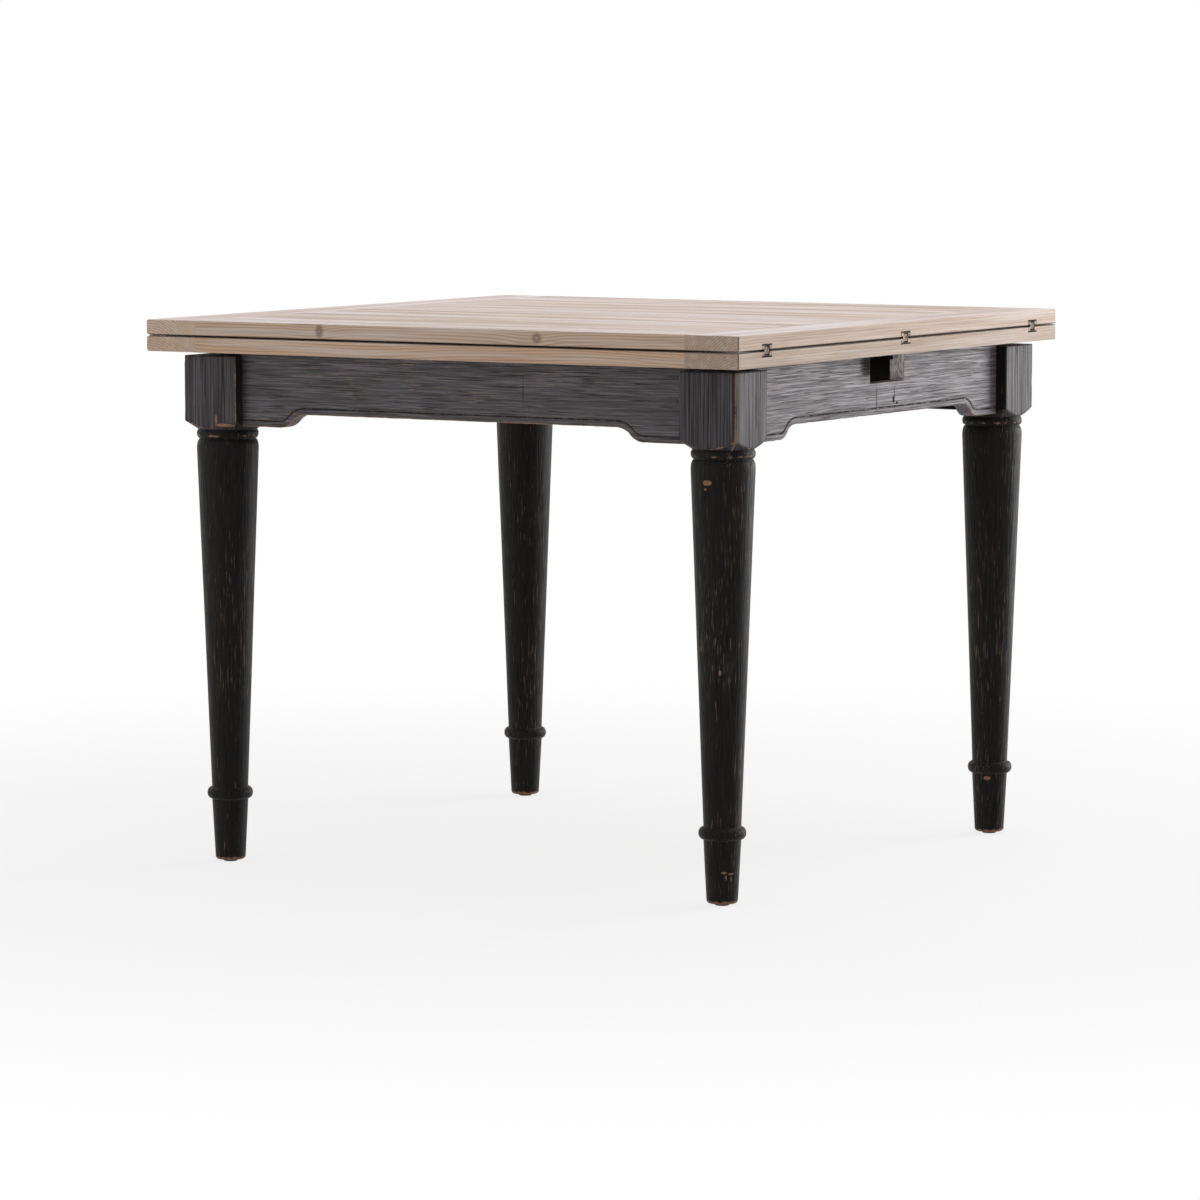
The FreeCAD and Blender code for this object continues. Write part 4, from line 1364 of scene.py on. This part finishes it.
@dataclass
class Apron:
    """A rail between two legs: ogee lower edge, incised line and worn arris, notched at the table's ends."""

    side: Side
    foot: float = 0.063
    ogee_length: float = 0.042
    ogee_rise: float = 0.019
    ogee_columns: int = 14
    line_offset: float = 0.0080
    line_width: float = 0.0018
    line_depth: float = 0.0012
    notch_width: float = 0.102
    notch_depth: float = 0.041
    notch_place: float = 0.015
    follow: float = 0.013
    wear_depth: float = 0.0011
    slide_wear: float = 0.0002
    rub: float = 1.0
    rub_spread: tuple[float, float] = (1.05, 0.30)
    rub_waves: float = 13.0
    nicks: tuple[tuple[float, float, float, float], ...] = ((0.6, 55.0, 2.0, 0.0), (0.8, 240.0, 7.0, 0.1))
    nick_reach: float = 0.002
    arris_reach: float = 0.003
    face_depth: float = 0.003
    swell: float = 0.00025
    swell_waves: tuple[float, float] = (9.0, 34.0)
    lip_share: float = 0.12
    bend_clear: float = 0.002
    columns: int = 150
    face_rows: int = 4
    cheek_rows: int = 4
    half: float = field(init=False)
    thickness: float = field(init=False)
    bottom: float = field(init=False)
    top: float = field(init=False)
    origin: Vector = field(init=False)

    def __post_init__(self) -> None:
        """Take the apron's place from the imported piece."""
        low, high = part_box(self.node)
        size = high - low
        axis = Grain.ALONG_HINGE.value if self.side.is_end else Grain.ALONG_SLIDE.value
        self.half = size[axis] / 2
        self.thickness = size[1 - axis]
        self.bottom = low.z
        self.top = high.z - self.slide_wear
        self.origin = (low + high) / 2 - self.side.inward * self.thickness / 2
        self.origin.z = 0.0

    @property
    def node(self) -> str:
        """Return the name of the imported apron."""
        return f"apron_{self.side.label}"

    @property
    def notch(self) -> tuple[float, ...]:
        """Place the notch along the apron.

        Returns:
            Where it starts and ends, or nothing where there is none.
        """
        if not self.side.is_end:
            return ()
        middle = self.notch_place * self.side.along.y
        return middle - self.notch_width / 2, middle + self.notch_width / 2

    def edge(self, run: float) -> tuple[float, float]:
        """Return the height of the lower edge and its slope.

        Args:
            run: The distance from the apron's middle.

        Returns:
            The height, and the angle of the edge as seen from outside.
        """
        radius = (self.ogee_length ** 2 + self.ogee_rise ** 2) / (4.0 * self.ogee_rise)
        step = clamped(self.half - self.foot - abs(run), 0.0, self.ogee_length)
        near = min(step, self.ogee_length - step)
        rise = radius - math.sqrt(radius * radius - near * near)
        if step > self.ogee_length / 2:
            rise = self.ogee_rise - rise
        slope = math.asin(near / radius)
        return self.bottom + rise, -math.copysign(slope, run)

    def stations(self) -> list[float]:
        """Set out the mesh's columns, with the notch's ends among them.

        Returns:
            Their distances from the apron's middle.
        """
        bend = self.half - self.foot
        inner, outer = bend - self.ogee_length - self.bend_clear, bend + self.bend_clear
        runs = [-self.half + 2.0 * self.half * step / self.columns for step in range(self.columns + 1)]
        runs = [run for run in runs if not inner < abs(run) < outer]
        fine = [bend - self.ogee_length * step / self.ogee_columns for step in range(self.ogee_columns + 1)]
        return sorted(runs + fine + [-run for run in fine] + list(self.notch))

    def front_rows(self) -> list[tuple[float, float, float]]:
        """Set out the rows by the lower edge of the front face.

        Returns:
            The distance of each from the edge, its depth and its wear, which is below 0 in the groove.
        """
        start, end = self.line_offset, self.line_offset + self.line_width
        lip = self.line_width * self.lip_share
        return [
            (0.0, self.wear_depth, 0.86),
            (0.0005, self.wear_depth * 0.40, 0.80),
            (0.0012, self.wear_depth * 0.08, 0.62),
            (0.0022, 0.0, 0.34),
            (0.0042, 0.0, 0.08),
            (start - 0.0004, 0.0, 0.0),
            (start + lip, self.line_depth, -1.0),
            (end - lip, self.line_depth, -1.0),
            (end + 0.0004, 0.0, 0.0),
            (self.follow, 0.0, 0.0),
        ]

    def sole_rows(self) -> list[tuple[float, float, float]]:
        """Set out the rows from the lower edge to the inner face.

        Returns:
            The depth of each, its height above the edge and its wear.
        """
        return [
            (0.0045, 0.0, 0.30),
            (0.0120, 0.0, 0.0),
            (self.thickness - 0.0006, 0.0001, 0.2),
            (self.thickness, 0.0012, 0.1),
        ]

    def roughness(self, run: float, waves: float, turn: float) -> float:
        """Return a noise along the apron."""
        return noise.noise(Vector((run * waves, self.side.value, turn)))

    def point(self, run: float, depth: float, level: float) -> Vector:
        """Place a point of the mesh, with the front face a little swollen.

        Args:
            run: The distance from the apron's middle.
            depth: The distance from the front face.
            level: The height.

        Returns:
            The place in the table's frame.
        """
        by_run, by_level = self.swell_waves
        if depth < self.face_depth:
            wave = Vector((run * by_run, level * by_level, float(self.side.value)))
            depth -= self.swell * noise.noise(wave)
        place = self.origin + self.side.along * run + self.side.inward * depth
        place.z = level
        return place

    def column(self, run: float) -> tuple[list[Vector], list[Vector], list[float]]:
        """Work out one column of the mesh.

        Args:
            run: The distance from the apron's middle.

        Returns:
            The points up the front face and up the back face, and the wear of both.
        """
        level, slope = self.edge(run)
        floor = self.top + self.slide_wear - self.notch_depth
        nick = sum(share * max(0.0, self.roughness(run, waves, turn) - least)
                   for share, waves, turn, least in self.nicks)
        even, uneven = self.rub_spread
        rubbing = self.rub * (even + uneven * self.roughness(run, self.rub_waves, 4.0))
        front: list[Vector] = []
        front_wear: list[float] = []
        for offset, depth, wear in self.front_rows():
            lifted = offset + self.wear_depth * nick * max(0.0, 1.0 - offset / self.nick_reach)
            inward = depth * (1.0 + nick) if offset < self.arris_reach else depth
            front.append(self.point(run - lifted * math.sin(slope), inward, level + lifted * math.cos(slope)))
            front_wear.append(wear * rubbing if wear > 0.0 else wear)
        last, notch_floor = front[-1], self.point(run, 0.0, floor)
        parts = self.face_rows + 1
        front += [last.lerp(notch_floor, step / parts) for step in range(1, parts)]
        uppers = [floor + (self.top - floor) * step / self.cheek_rows for step in range(self.cheek_rows + 1)]
        front += [self.point(run, 0.0, upper) for upper in uppers]
        front_wear += [0.0] * (len(front) - len(front_wear))
        back = [self.point(run, depth, level + rise) for depth, rise, _ in self.sole_rows()]
        back += [self.point(run, self.thickness, upper) for upper in uppers]
        back_wear = [wear for _, _, wear in self.sole_rows()] + [0.0] * len(uppers)
        return front, back, front_wear + back_wear

    def build(self, paint: bpy.types.Material, stain_and_shade: bpy.types.Material) -> bpy.types.Object:
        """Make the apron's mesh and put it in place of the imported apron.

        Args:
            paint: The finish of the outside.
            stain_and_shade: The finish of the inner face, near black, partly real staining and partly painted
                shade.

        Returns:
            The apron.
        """
        points: list[Vector] = []
        wears: list[float] = []
        fronts: list[list[int]] = []
        backs: list[list[int]] = []
        runs = self.stations()
        for run in runs:
            front, back, column_wear = self.column(run)
            for column, places in ((fronts, front), (backs, back)):
                column.append(list(range(len(points), len(points) + len(places))))
                points += places
            wears += column_wear
        faces, inner = self.skin(runs, fronts, backs)
        faces += [fronts[0] + backs[0][::-1], backs[-1] + fronts[-1][::-1]]
        for end, turned in zip(self.notch, (False, True)):
            place = runs.index(end)
            front, back = (side[place][-self.cheek_rows - 1:] for side in (fronts, backs))
            for step in range(self.cheek_rows):
                face = [front[step], front[step + 1], back[step + 1], back[step]]
                faces.append(face[::-1] if turned else face)
        picks = inner + [0] * (len(faces) - len(inner))
        mesh = worn_mesh(self.node, points, faces, wears, (paint, stain_and_shade), picks)
        shape = bmesh.new()
        shape.from_mesh(mesh)
        bmesh.ops.recalc_face_normals(shape, faces=shape.faces)
        shape.to_mesh(mesh)
        shape.free()
        return put_in_place(mesh, self.node, "base", "black_paint_timber")

    def skin(self, runs: Sequence[float], fronts: list[list[int]],
             backs: list[list[int]]) -> tuple[list[list[int]], list[int]]:
        """List the faces round the apron, and which of them are on its inner face.

        Args:
            runs: The places of the columns.
            fronts: The points up the front face at each column.
            backs: The points up the back face at each column.

        Returns:
            The faces' corners, and 1 for each face of the inner side.
        """
        faces: list[list[int]] = []
        inner: list[int] = []
        sole_count = len(self.sole_rows())
        for index, run in enumerate(runs[:-1]):
            middle = (run + runs[index + 1]) / 2
            notched = bool(self.notch) and self.notch[0] < middle < self.notch[1]
            front_count = len(fronts[index]) - self.cheek_rows * notched
            back_count = len(backs[index]) - self.cheek_rows * notched
            first, second = (fronts[place][:front_count] + backs[place][:back_count][::-1]
                             for place in (index, index + 1))
            for step in range(len(first)):
                after = (step + 1) % len(first)
                faces.append([first[step], second[step], second[after], first[after]])
                inner.append(int(front_count <= step < len(first) - sole_count))
        return faces, inner


@dataclass
class Base:
    """The standing half: legs, aprons, corner braces, rails and their fasteners."""

    end_rub: float = 0.72
    shaft_chips: tuple[Mark, ...] = (
        Mark((0.4095, -0.4427, 0.5710), 0.0150, 0.0080),
        Mark((0.4068, -0.4420, 0.5622), 0.0036, 0.0036),
        Mark((0.4228, -0.4304, 0.3171), 0.0040, 0.0095),
        Mark((0.4233, -0.4189, 0.0468), 0.0090, 0.0032),
        Mark((0.4252, -0.4168, 0.0405), 0.0022, 0.0090),
        Mark((0.4299, -0.4115, 0.0450), 0.0090, 0.0032),
        Mark((0.4298, -0.4112, 0.0380), 0.0022, 0.0100),
        Mark((0.4177, 0.3764, 0.0838), 0.0120, 0.0060),
    )
    block_chips: tuple[Mark, ...] = (
        Mark((-0.3795, -0.4440, 0.6290), 0.0040, 0.0160),
        Mark((-0.3640, -0.4440, 0.6215), 0.0340, 0.0050),
        Mark((-0.4255, -0.4440, 0.6215), 0.0150, 0.0050),
    )
    side_stains: tuple[Mark, ...] = (
        Mark((0.1146, -0.4280, 0.6830), 0.0022, 0.0850, 0.8),
    )
    # Dark marks on the end aprons: cracks and marks below the notch, and a soft black patch that is painted
    # shadow.
    end_stains_and_shade: tuple[Mark, ...] = (
        Mark((0.4380, 0.0350, 0.6577), 0.0075, 0.0125),
        Mark((0.4380, 0.0458, 0.6528), 0.0085, 0.0045),
        Mark((0.4380, -0.0155, 0.6610), 0.0046, 0.0560, 0.9),
        Mark((0.4380, 0.0380, 0.6640), 0.0042, 0.0500, 0.9),
        # Painted shadow: a soft black patch left of the notch, round its shadowed mouth.
        Mark((0.4380, -0.0420, 0.7100), 0.0900, 0.0640, 0.8),
    )

    def side_paint(self) -> bpy.types.Material:
        """Return the finish of the front and back aprons."""
        return WornPaint("worn_paint_sides", Grain.ALONG_SLIDE, scratch_from=0.690,
                         stains_and_shade=self.side_stains).make()

    def end_paint_with_sheen(self) -> bpy.types.Material:
        """Make the finish of the end aprons, finer in the grain and greyer, the lighter grey standing for
        painted sheen.

        Returns:
            The material.
        """
        # Painted sheen: the end aprons' paint colours are much lighter than the sides', standing for the
        # sheen that light lays on their faces.
        return WornPaint(
            "worn_paint_ends_painted_sheen", Grain.ALONG_HINGE, seed=3.0, gloss=0.32, lines=600.0, pore_depth=0.84,
            stains_and_shade=self.end_stains_and_shade, shade=(0.088, 0.074, 0.084), rubbed=(0.215, 0.182, 0.206)).make()

    def block_paint(self) -> bpy.types.Material:
        """Make the finish of the legs' square blocks.

        Returns:
            The material.
        """
        return WornPaint(
            "worn_paint_blocks", Grain.UPRIGHT, seed=6.0, gloss=0.185, streak_length=0.15, lines=560.0,
            chips=self.block_chips, shade=(0.024, 0.021, 0.0235), rubbed=(0.132, 0.116, 0.128)).make()

    def shaded_shaft_paint(self) -> bpy.types.Material:
        """Make the finish of the legs' turned parts, the blackest one: partly a blacker, less rubbed paint
        and partly painted shade.

        Returns:
            The material.
        """
        # Painted shade: the turned parts' paint colours are far darker than the blocks', standing partly for
        # the shade on them.
        return WornPaint(
            "worn_paint_shafts_shaded", Grain.UPRIGHT, seed=12.0, gloss=0.11, dust=0.16, ridge_depth=0.0006,
            streak_length=0.12, lines=380.0, chips=self.shaft_chips, scratch_from=0.672, scratch_share=0.62,
            scratch_run=24.0, scratch=(0.200, 0.145, 0.105), paint=(0.0016, 0.0012, 0.0011),
            shade=(0.0030, 0.0024, 0.0022), rubbed=(0.0100, 0.0080, 0.0072)).make()

    def dress(self) -> None:
        """Build the legs and aprons, paint the outside, colour the inside near black as stained timber and
        painted shade, and finish the fasteners.
        """
        side_paint, end_paint_with_sheen = self.side_paint(), self.end_paint_with_sheen()
        block_paint, shaded_shaft_paint = self.block_paint(), self.shaded_shaft_paint()
        # Painted shade: the aprons' inner faces, the corner braces and the guide rails are near black and
        # almost without gloss, partly real staining and partly standing for the shade inside the base.
        stained = PlainTimber("stained_timber", Grain.ALONG_SLIDE, pale=(0.0100, 0.0080, 0.0070),
                              dark=(0.0045, 0.0038, 0.0032), gloss=0.06).make()
        for corner in Corner:
            TurnedLeg(corner).build(block_paint, shaded_shaft_paint)
        for side in Side:
            apron = Apron(side, rub=self.end_rub if side.is_end else 1.0)
            apron.build(end_paint_with_sheen if side.is_end else side_paint, stained)
        dress([f"corner_brace_{corner.label}" for corner in Corner], stained)
        dress(["guide_rail_front", "guide_rail_back"], stained)
        nylon = MouldedNylon("glide_nylon", (0.012, 0.011, 0.010), (0.050, 0.044, 0.040)).make()
        dress([f"glide_{corner.label}" for corner in Corner], nylon)
        zinc = AgedMetal("zinc_plate", (0.62, 0.61, 0.58), (0.36, 0.35, 0.33), 0.34, 0.50).make()
        dress(["hanger_bolts", "hanger_bolt_washers", "hanger_bolt_nuts", "brace_screws"], zinc)
        dress(["runner_screws", "stop_screws"], zinc)


# Top

@dataclass
class Board:
    """One board of a leaf: eased at its joints, a little uneven, swollen where the leaves face each other."""

    node: str
    body: str
    slot: str
    leaf_half: float = 0.475
    swell: float = 0.00085
    rim: float = 0.0200
    rim_run: float = 0.0080
    corner_rim: float = 0.0008
    corner_run: float = 0.0030
    corner_reach: float = 0.060
    ease: float = 0.0010
    ease_depth: float = 0.00030
    ripple: float = 0.00010
    ripple_waves: tuple[float, float, float] = (6.0, 21.0, 50.0)
    cut_spacing: float = 0.045
    least_cut: float = 0.0004
    sharp_angle: float = 25.0
    hinge_clear: float = 0.022
    hinge_places: tuple[float, ...] = (-0.398, 0.0, 0.398)

    def build(self, pine: bpy.types.Material) -> bpy.types.Object:
        """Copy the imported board, work its faces and put it in the board's place.

        Args:
            pine: The finish.

        Returns:
            The board.
        """
        low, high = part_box(self.node)
        shape = bmesh.new()
        shape.from_mesh(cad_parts[self.node].data)
        for axis, normal in enumerate((Vector((1.0, 0.0, 0.0)), Vector((0.0, 1.0, 0.0)))):
            for cut in self.cuts(low[axis], high[axis]):
                bmesh.ops.bisect_plane(shape, geom=[*shape.verts, *shape.edges, *shape.faces], dist=SAME_CUT,
                                       plane_co=normal * cut, plane_no=normal)
        for vertex in shape.verts:
            if abs(vertex.co.z - high.z) < SAME_PLACE:
                vertex.co.z += self.lift(vertex.co, low, high, self.body == "lower_leaf")
            elif abs(vertex.co.z - low.z) < SAME_PLACE and self.body == "upper_leaf":
                vertex.co.z -= self.lift(vertex.co, low, high, True)
        mesh = bpy.data.meshes.new(f"board_{self.node}")
        shape.to_mesh(mesh)
        shape.free()
        carried = mesh.attributes.get("custom_normal")
        if carried is not None:
            mesh.attributes.remove(carried)
        mesh.materials.clear()
        mesh.materials.append(pine)
        mesh.polygons.foreach_set("material_index", [0] * len(mesh.polygons))
        mesh.polygons.foreach_set("use_smooth", [True] * len(mesh.polygons))
        mesh.set_sharp_from_angle(angle=math.radians(self.sharp_angle))
        return put_in_place(mesh, self.node, self.body, self.slot)

    def cuts(self, low: float, high: float) -> list[float]:
        """Return where a board's faces are divided along one axis.

        Args:
            low: The board's start.
            high: Its end.

        Returns:
            The places of the cuts.
        """
        count = max(2, round((high - low) / self.cut_spacing))
        places = [low + (high - low) * step / count for step in range(1, count)]
        places += [low + self.ease, high - self.ease]
        insets = [self.corner_rim + self.corner_run * share for share in (0.0, 0.5, 1.0)]
        insets += [self.rim * share for share in (0.32, 0.48, 0.70)]
        insets += [self.rim + self.rim_run * share for share in (0.0, 0.5, 1.0)]
        insets += [self.corner_reach * share for share in (0.65, 1.0)]
        for sign in (-1.0, 1.0):
            places += [sign * (self.leaf_half - inset) for inset in insets]
        return sorted(place for place in places if low + self.least_cut < place < high - self.least_cut)

    def lift(self, place: Vector, low: Vector, high: Vector, faces_leaf: bool) -> float:
        """Work out how far a place on a board's face stands proud.

        Args:
            place: The place.
            low: The board's lowest corner.
            high: Its highest corner.
            faces_leaf: Whether the other leaf lies against this face.

        Returns:
            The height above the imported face.
        """
        inset = self.leaf_half - max(abs(place.x), abs(place.y))
        beside = self.leaf_half - min(abs(place.x), abs(place.y))
        corner = 1.0 - min(beside / self.corner_reach, 1.0) ** 2
        start = self.rim + (self.corner_rim - self.rim) * corner
        run = self.rim_run + (self.corner_run - self.rim_run) * corner
        inner = clamped((inset - start) / run)
        by_x, by_y, by_level = self.ripple_waves
        wave = Vector((place.x * by_x, place.y * by_y, low.z * by_level))
        lift = self.ripple * inner * noise.noise(wave)
        if faces_leaf:
            by_hinge = min(math.hypot(place.x - self.leaf_half, place.y - spot) for spot in self.hinge_places)
            clear = clamped(by_hinge / self.hinge_clear - 1.0)
            lift += self.swell * inner * inner * (3.0 - 2.0 * inner) * clear
        for axis in (0, 1):
            for edge in (low[axis], high[axis]):
                if abs(place[axis] - edge) < SAME_PLACE and self.leaf_half - abs(edge) > self.ease:
                    lift -= self.ease_depth
        return lift


@dataclass
class Leaf:
    """One leaf of the top: planks between two breadboard ends."""

    label: str
    planks: int = 7
    edge_knots: tuple[Knot, ...] = ()
    seed: float = 0.0
    warmth: float = 0.0
    end_tone: float = 0.90

    def build(self) -> None:
        """Build every board and give it its own cut of pine."""
        body = f"{self.label}_leaf"
        for index in range(self.planks):
            name = f"{body}_plank_{index + 1}"
            Board(name, body, "top_planks").build(self.plank_pine(name, index).make())
        for index, end in enumerate(("hinge", "free")):
            name = f"{body}_{end}_breadboard"
            Board(name, body, "top_breadboards").build(self.breadboard_pine(name, index).make())

    def plank_pine(self, name: str, index: int) -> LimedPine:
        """Choose the pine of a plank.

        Args:
            name: The plank's node.
            index: Its number from the front, from 0.

        Returns:
            The finish.
        """
        low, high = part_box(name)
        return LimedPine(
            f"limed_{name}", Grain.ALONG_SLIDE, middle_of(name),
            pith_across=0.040 * math.sin(2.4 * index + self.seed),
            pith_up=-0.075 - 0.025 * math.cos(1.7 * index + self.seed),
            seed=self.seed + 1.37 * index,
            tone=1.07 + 0.06 * math.cos(2.1 * index + self.seed),
            warmth=self.warmth,
            knots=self.edge_knots if index == 0 else (),
            half_width=(high.y - low.y) / 2,
            joints=tuple([low.y] * (index > 0) + [high.y] * (index < self.planks - 1)),
            joint_level=self.joint_level(name))

    def breadboard_pine(self, name: str, index: int) -> LimedPine:
        """Choose the pine of a breadboard end.

        Args:
            name: The breadboard's node.
            index: 0 at the hinges and 1 at the free end.

        Returns:
            The finish.
        """
        low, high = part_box(name)
        hinged = index == 0
        return LimedPine(
            f"limed_{name}", Grain.ALONG_HINGE, middle_of(name),
            pith_across=0.055 - 0.095 * index, pith_up=-0.055,
            seed=self.seed + 31.0 + 4.0 * index,
            tone=self.end_tone + 0.17 * index,
            limed=0.25, figure=0.30, ring_width=0.0036,
            end_tint=(0.860, 0.850, 0.820) if hinged else (1.000, 0.975, 0.930),
            # The hinged breadboard takes a dark arris line and painted shade in its hinge recesses.
            dark_arris=(high.x, low.y) if hinged else None,
            joint_level=self.joint_level(name),
            recesses=Board.hinge_places if hinged else ())

    def joint_level(self, name: str) -> float:
        """Return the height of a board's face that lies against the other leaf."""
        low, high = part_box(name)
        return high.z if self.label == "lower" else low.z


@dataclass
class Slide:
    """The runner and the stop blocks under the lower leaf."""

    pale: Colour = (0.560, 0.420, 0.280)
    dark: Colour = (0.400, 0.270, 0.160)

    def dress(self) -> None:
        """Leave the runner and the stops in natural pine."""
        pine = PlainTimber("natural_pine", Grain.ALONG_SLIDE, self.pale, self.dark).make()
        stops = [f"{kind}_stop_{side}" for kind in ("closed", "open") for side in ("front", "back")]
        dress(["slide_runner", *stops], pine)


@dataclass
class Hinges:
    """The three link hinges between the leaves."""

    places: tuple[str, ...] = ("front", "middle", "back")
    # How far from the joint the painted shade on the cups' outer lips begins.
    lip_from: float = 0.0058

    def dress(self) -> None:
        """Give cups, links and pins their metal."""
        steel = AgedMetal("hinge_steel", (0.150, 0.098, 0.074), (0.060, 0.038, 0.029), 0.46, 0.46,
                          lip_level=middle_of("hinge_link_middle").z, lip_from=self.lip_from).make()
        bronze = AgedMetal("hinge_bronze", (0.085, 0.058, 0.045), (0.034, 0.024, 0.020), 0.46, 0.44).make()
        for place in self.places:
            dress([f"hinge_cup_{leaf}_{place}" for leaf in ("lower", "upper")], steel)
            dress([f"hinge_link_{place}"], bronze)
        dress(["hinge_pins_lower", "hinge_pins_upper"], bronze)


# Studio

@dataclass(frozen=True)
class Lamp:
    """A square soft light: its name, place, the length of its sides and its power in watts."""

    name: str
    place: tuple[float, float, float]
    size: float
    power: float

    def hang(self, target: Vector) -> None:
        """Hang the light.

        Args:
            target: Where it points.
        """
        light = bpy.data.lights.new(self.name, "AREA")
        light.size = self.size
        light.energy = self.power
        item = bpy.data.objects.new(self.name, light)
        item.location = self.place
        item.rotation_euler = (target - Vector(self.place)).to_track_quat("-Z", "Y").to_euler()
        bpy.context.scene.collection.objects.link(item)


@dataclass
class Studio:
    """White floor and world, soft lights and the camera."""

    floor_radius: float = 40.0
    floor_sides: int = 128
    floor_white: Colour = (0.80, 0.80, 0.80)
    floor_glow: float = 0.80
    floor_grain: Streaks = Streaks(30.0, 30.0, 1.0)
    floor_mottle: float = 0.03
    shadow_reach: float = 0.9
    shadow_fade: float = 2.5
    ambient: float = 0.42
    camera_place: tuple[float, float, float] = (3.8986, -6.6010, 1.1155)
    camera_pitch: float = 5.652
    camera_yaw: float = 30.683
    lens: float = 160.58
    target: tuple[float, float, float] = (0.0, 0.0, 0.55)
    lamps: tuple[Lamp, ...] = (
        Lamp("overhead", (0.6, 0.6, 3.6), 2.6, 42.0),
        Lamp("back_right", (2.3, 3.9, 1.0), 1.8, 120.0),
        Lamp("front_left", (-2.7, -4.3, 1.0), 1.8, 32.0),
    )

    def build(self) -> None:
        """Set up the stage."""
        self.make_world()
        self.make_floor()
        self.make_camera()
        for lamp in self.lamps:
            lamp.hang(Vector(self.target))

    @staticmethod
    def seen(nodes: Nodes) -> Socket:
        """Tell the rays by which the background is seen, straight or in a reflection.

        Args:
            nodes: The tree in the making.

        Returns:
            One for such a ray.
        """
        path = nodes.add("LightPath").outputs
        share = nodes.most(path["Is Camera Ray"], path["Is Glossy Ray"])
        return nodes.most(share, path["Is Transmission Ray"])

    def make_world(self) -> None:
        """Make the white surroundings."""
        world = bpy.data.worlds.new("studio")
        world.use_nodes = True
        bpy.context.scene.world = world
        nodes = Nodes(world.node_tree)
        background = world.node_tree.nodes["Background"]
        nodes.feed(background.inputs["Color"], WHITE)
        strength = nodes.sum("MULTIPLY_ADD", self.seen(nodes), 1.0 - self.ambient, self.ambient)
        nodes.feed(background.inputs["Strength"], strength)

    def make_floor(self) -> None:
        """Make the floor, which shows white and keeps the table's shadow."""
        mesh = bpy.data.meshes.new("floor")
        plan = bmesh.new()
        bmesh.ops.create_circle(plan, cap_ends=True, segments=self.floor_sides, radius=self.floor_radius)
        plan.to_mesh(mesh)
        plan.free()
        floor = bpy.data.objects.new("floor", mesh)
        bpy.context.scene.collection.objects.link(floor)
        mesh.materials.append(self.floor_finish())

    def floor_finish(self) -> bpy.types.Material:
        """Make the floor's material: matt and pale, and shining white where it is seen far out.

        Returns:
            The material.
        """
        shader = Shader("floor_white")
        grain = self.floor_grain.draw(shader, shader.place(), Grain.UPRIGHT)
        mottle = shader.step(grain, *SPREAD, 0.0, self.floor_mottle)
        tone = shader.blend(mottle, self.floor_white, BLACK)
        away = shader.vector("LENGTH", shader.place(), output=1)
        far = self.shadow_fade * self.shadow_reach
        share = shader.step(away, self.shadow_reach, far, self.floor_glow, 1.0)
        matt = shader.add("BsdfDiffuse", {"Color": tone}).outputs[0]
        shine = shader.add("Emission", {"Color": WHITE, "Strength": 1.0}).outputs[0]
        glow = shader.times(self.seen(shader), share)
        mixed = shader.add("MixShader", {0: glow, 1: matt, 2: shine}).outputs[0]
        shader.tree.nodes.remove(shader.surface)
        shader.feed(shader.tree.nodes["Material Output"].inputs["Surface"], mixed)
        return shader.material

    def make_camera(self) -> None:
        """Set the camera where the photograph was taken from."""
        camera = bpy.data.cameras.new("camera")
        camera.lens = self.lens
        item = bpy.data.objects.new("camera", camera)
        item.location = self.camera_place
        pitch, yaw = math.radians(90.0 - self.camera_pitch), math.radians(self.camera_yaw)
        item.rotation_euler = Euler((pitch, 0.0, yaw))
        bpy.context.scene.collection.objects.link(item)
        bpy.context.scene.camera = item


def main() -> None:
    """Dress the table from the floor up, then set the stage."""
    logging.basicConfig(level=logging.INFO)
    bpy.context.scene.view_settings.view_transform = "Standard"
    Base().dress()
    Slide().dress()
    Leaf("lower", seed=2.0, warmth=0.10, end_tone=0.78).build()
    knots = (Knot(-0.1846, 0.001, 0.0075, 0.0115), Knot(0.1650, 0.0, 0.0074, 0.0070))
    Leaf("upper", seed=9.0, edge_knots=knots).build()
    Hinges().dress()
    Studio().build()


if __name__ == "__main__":
    main()
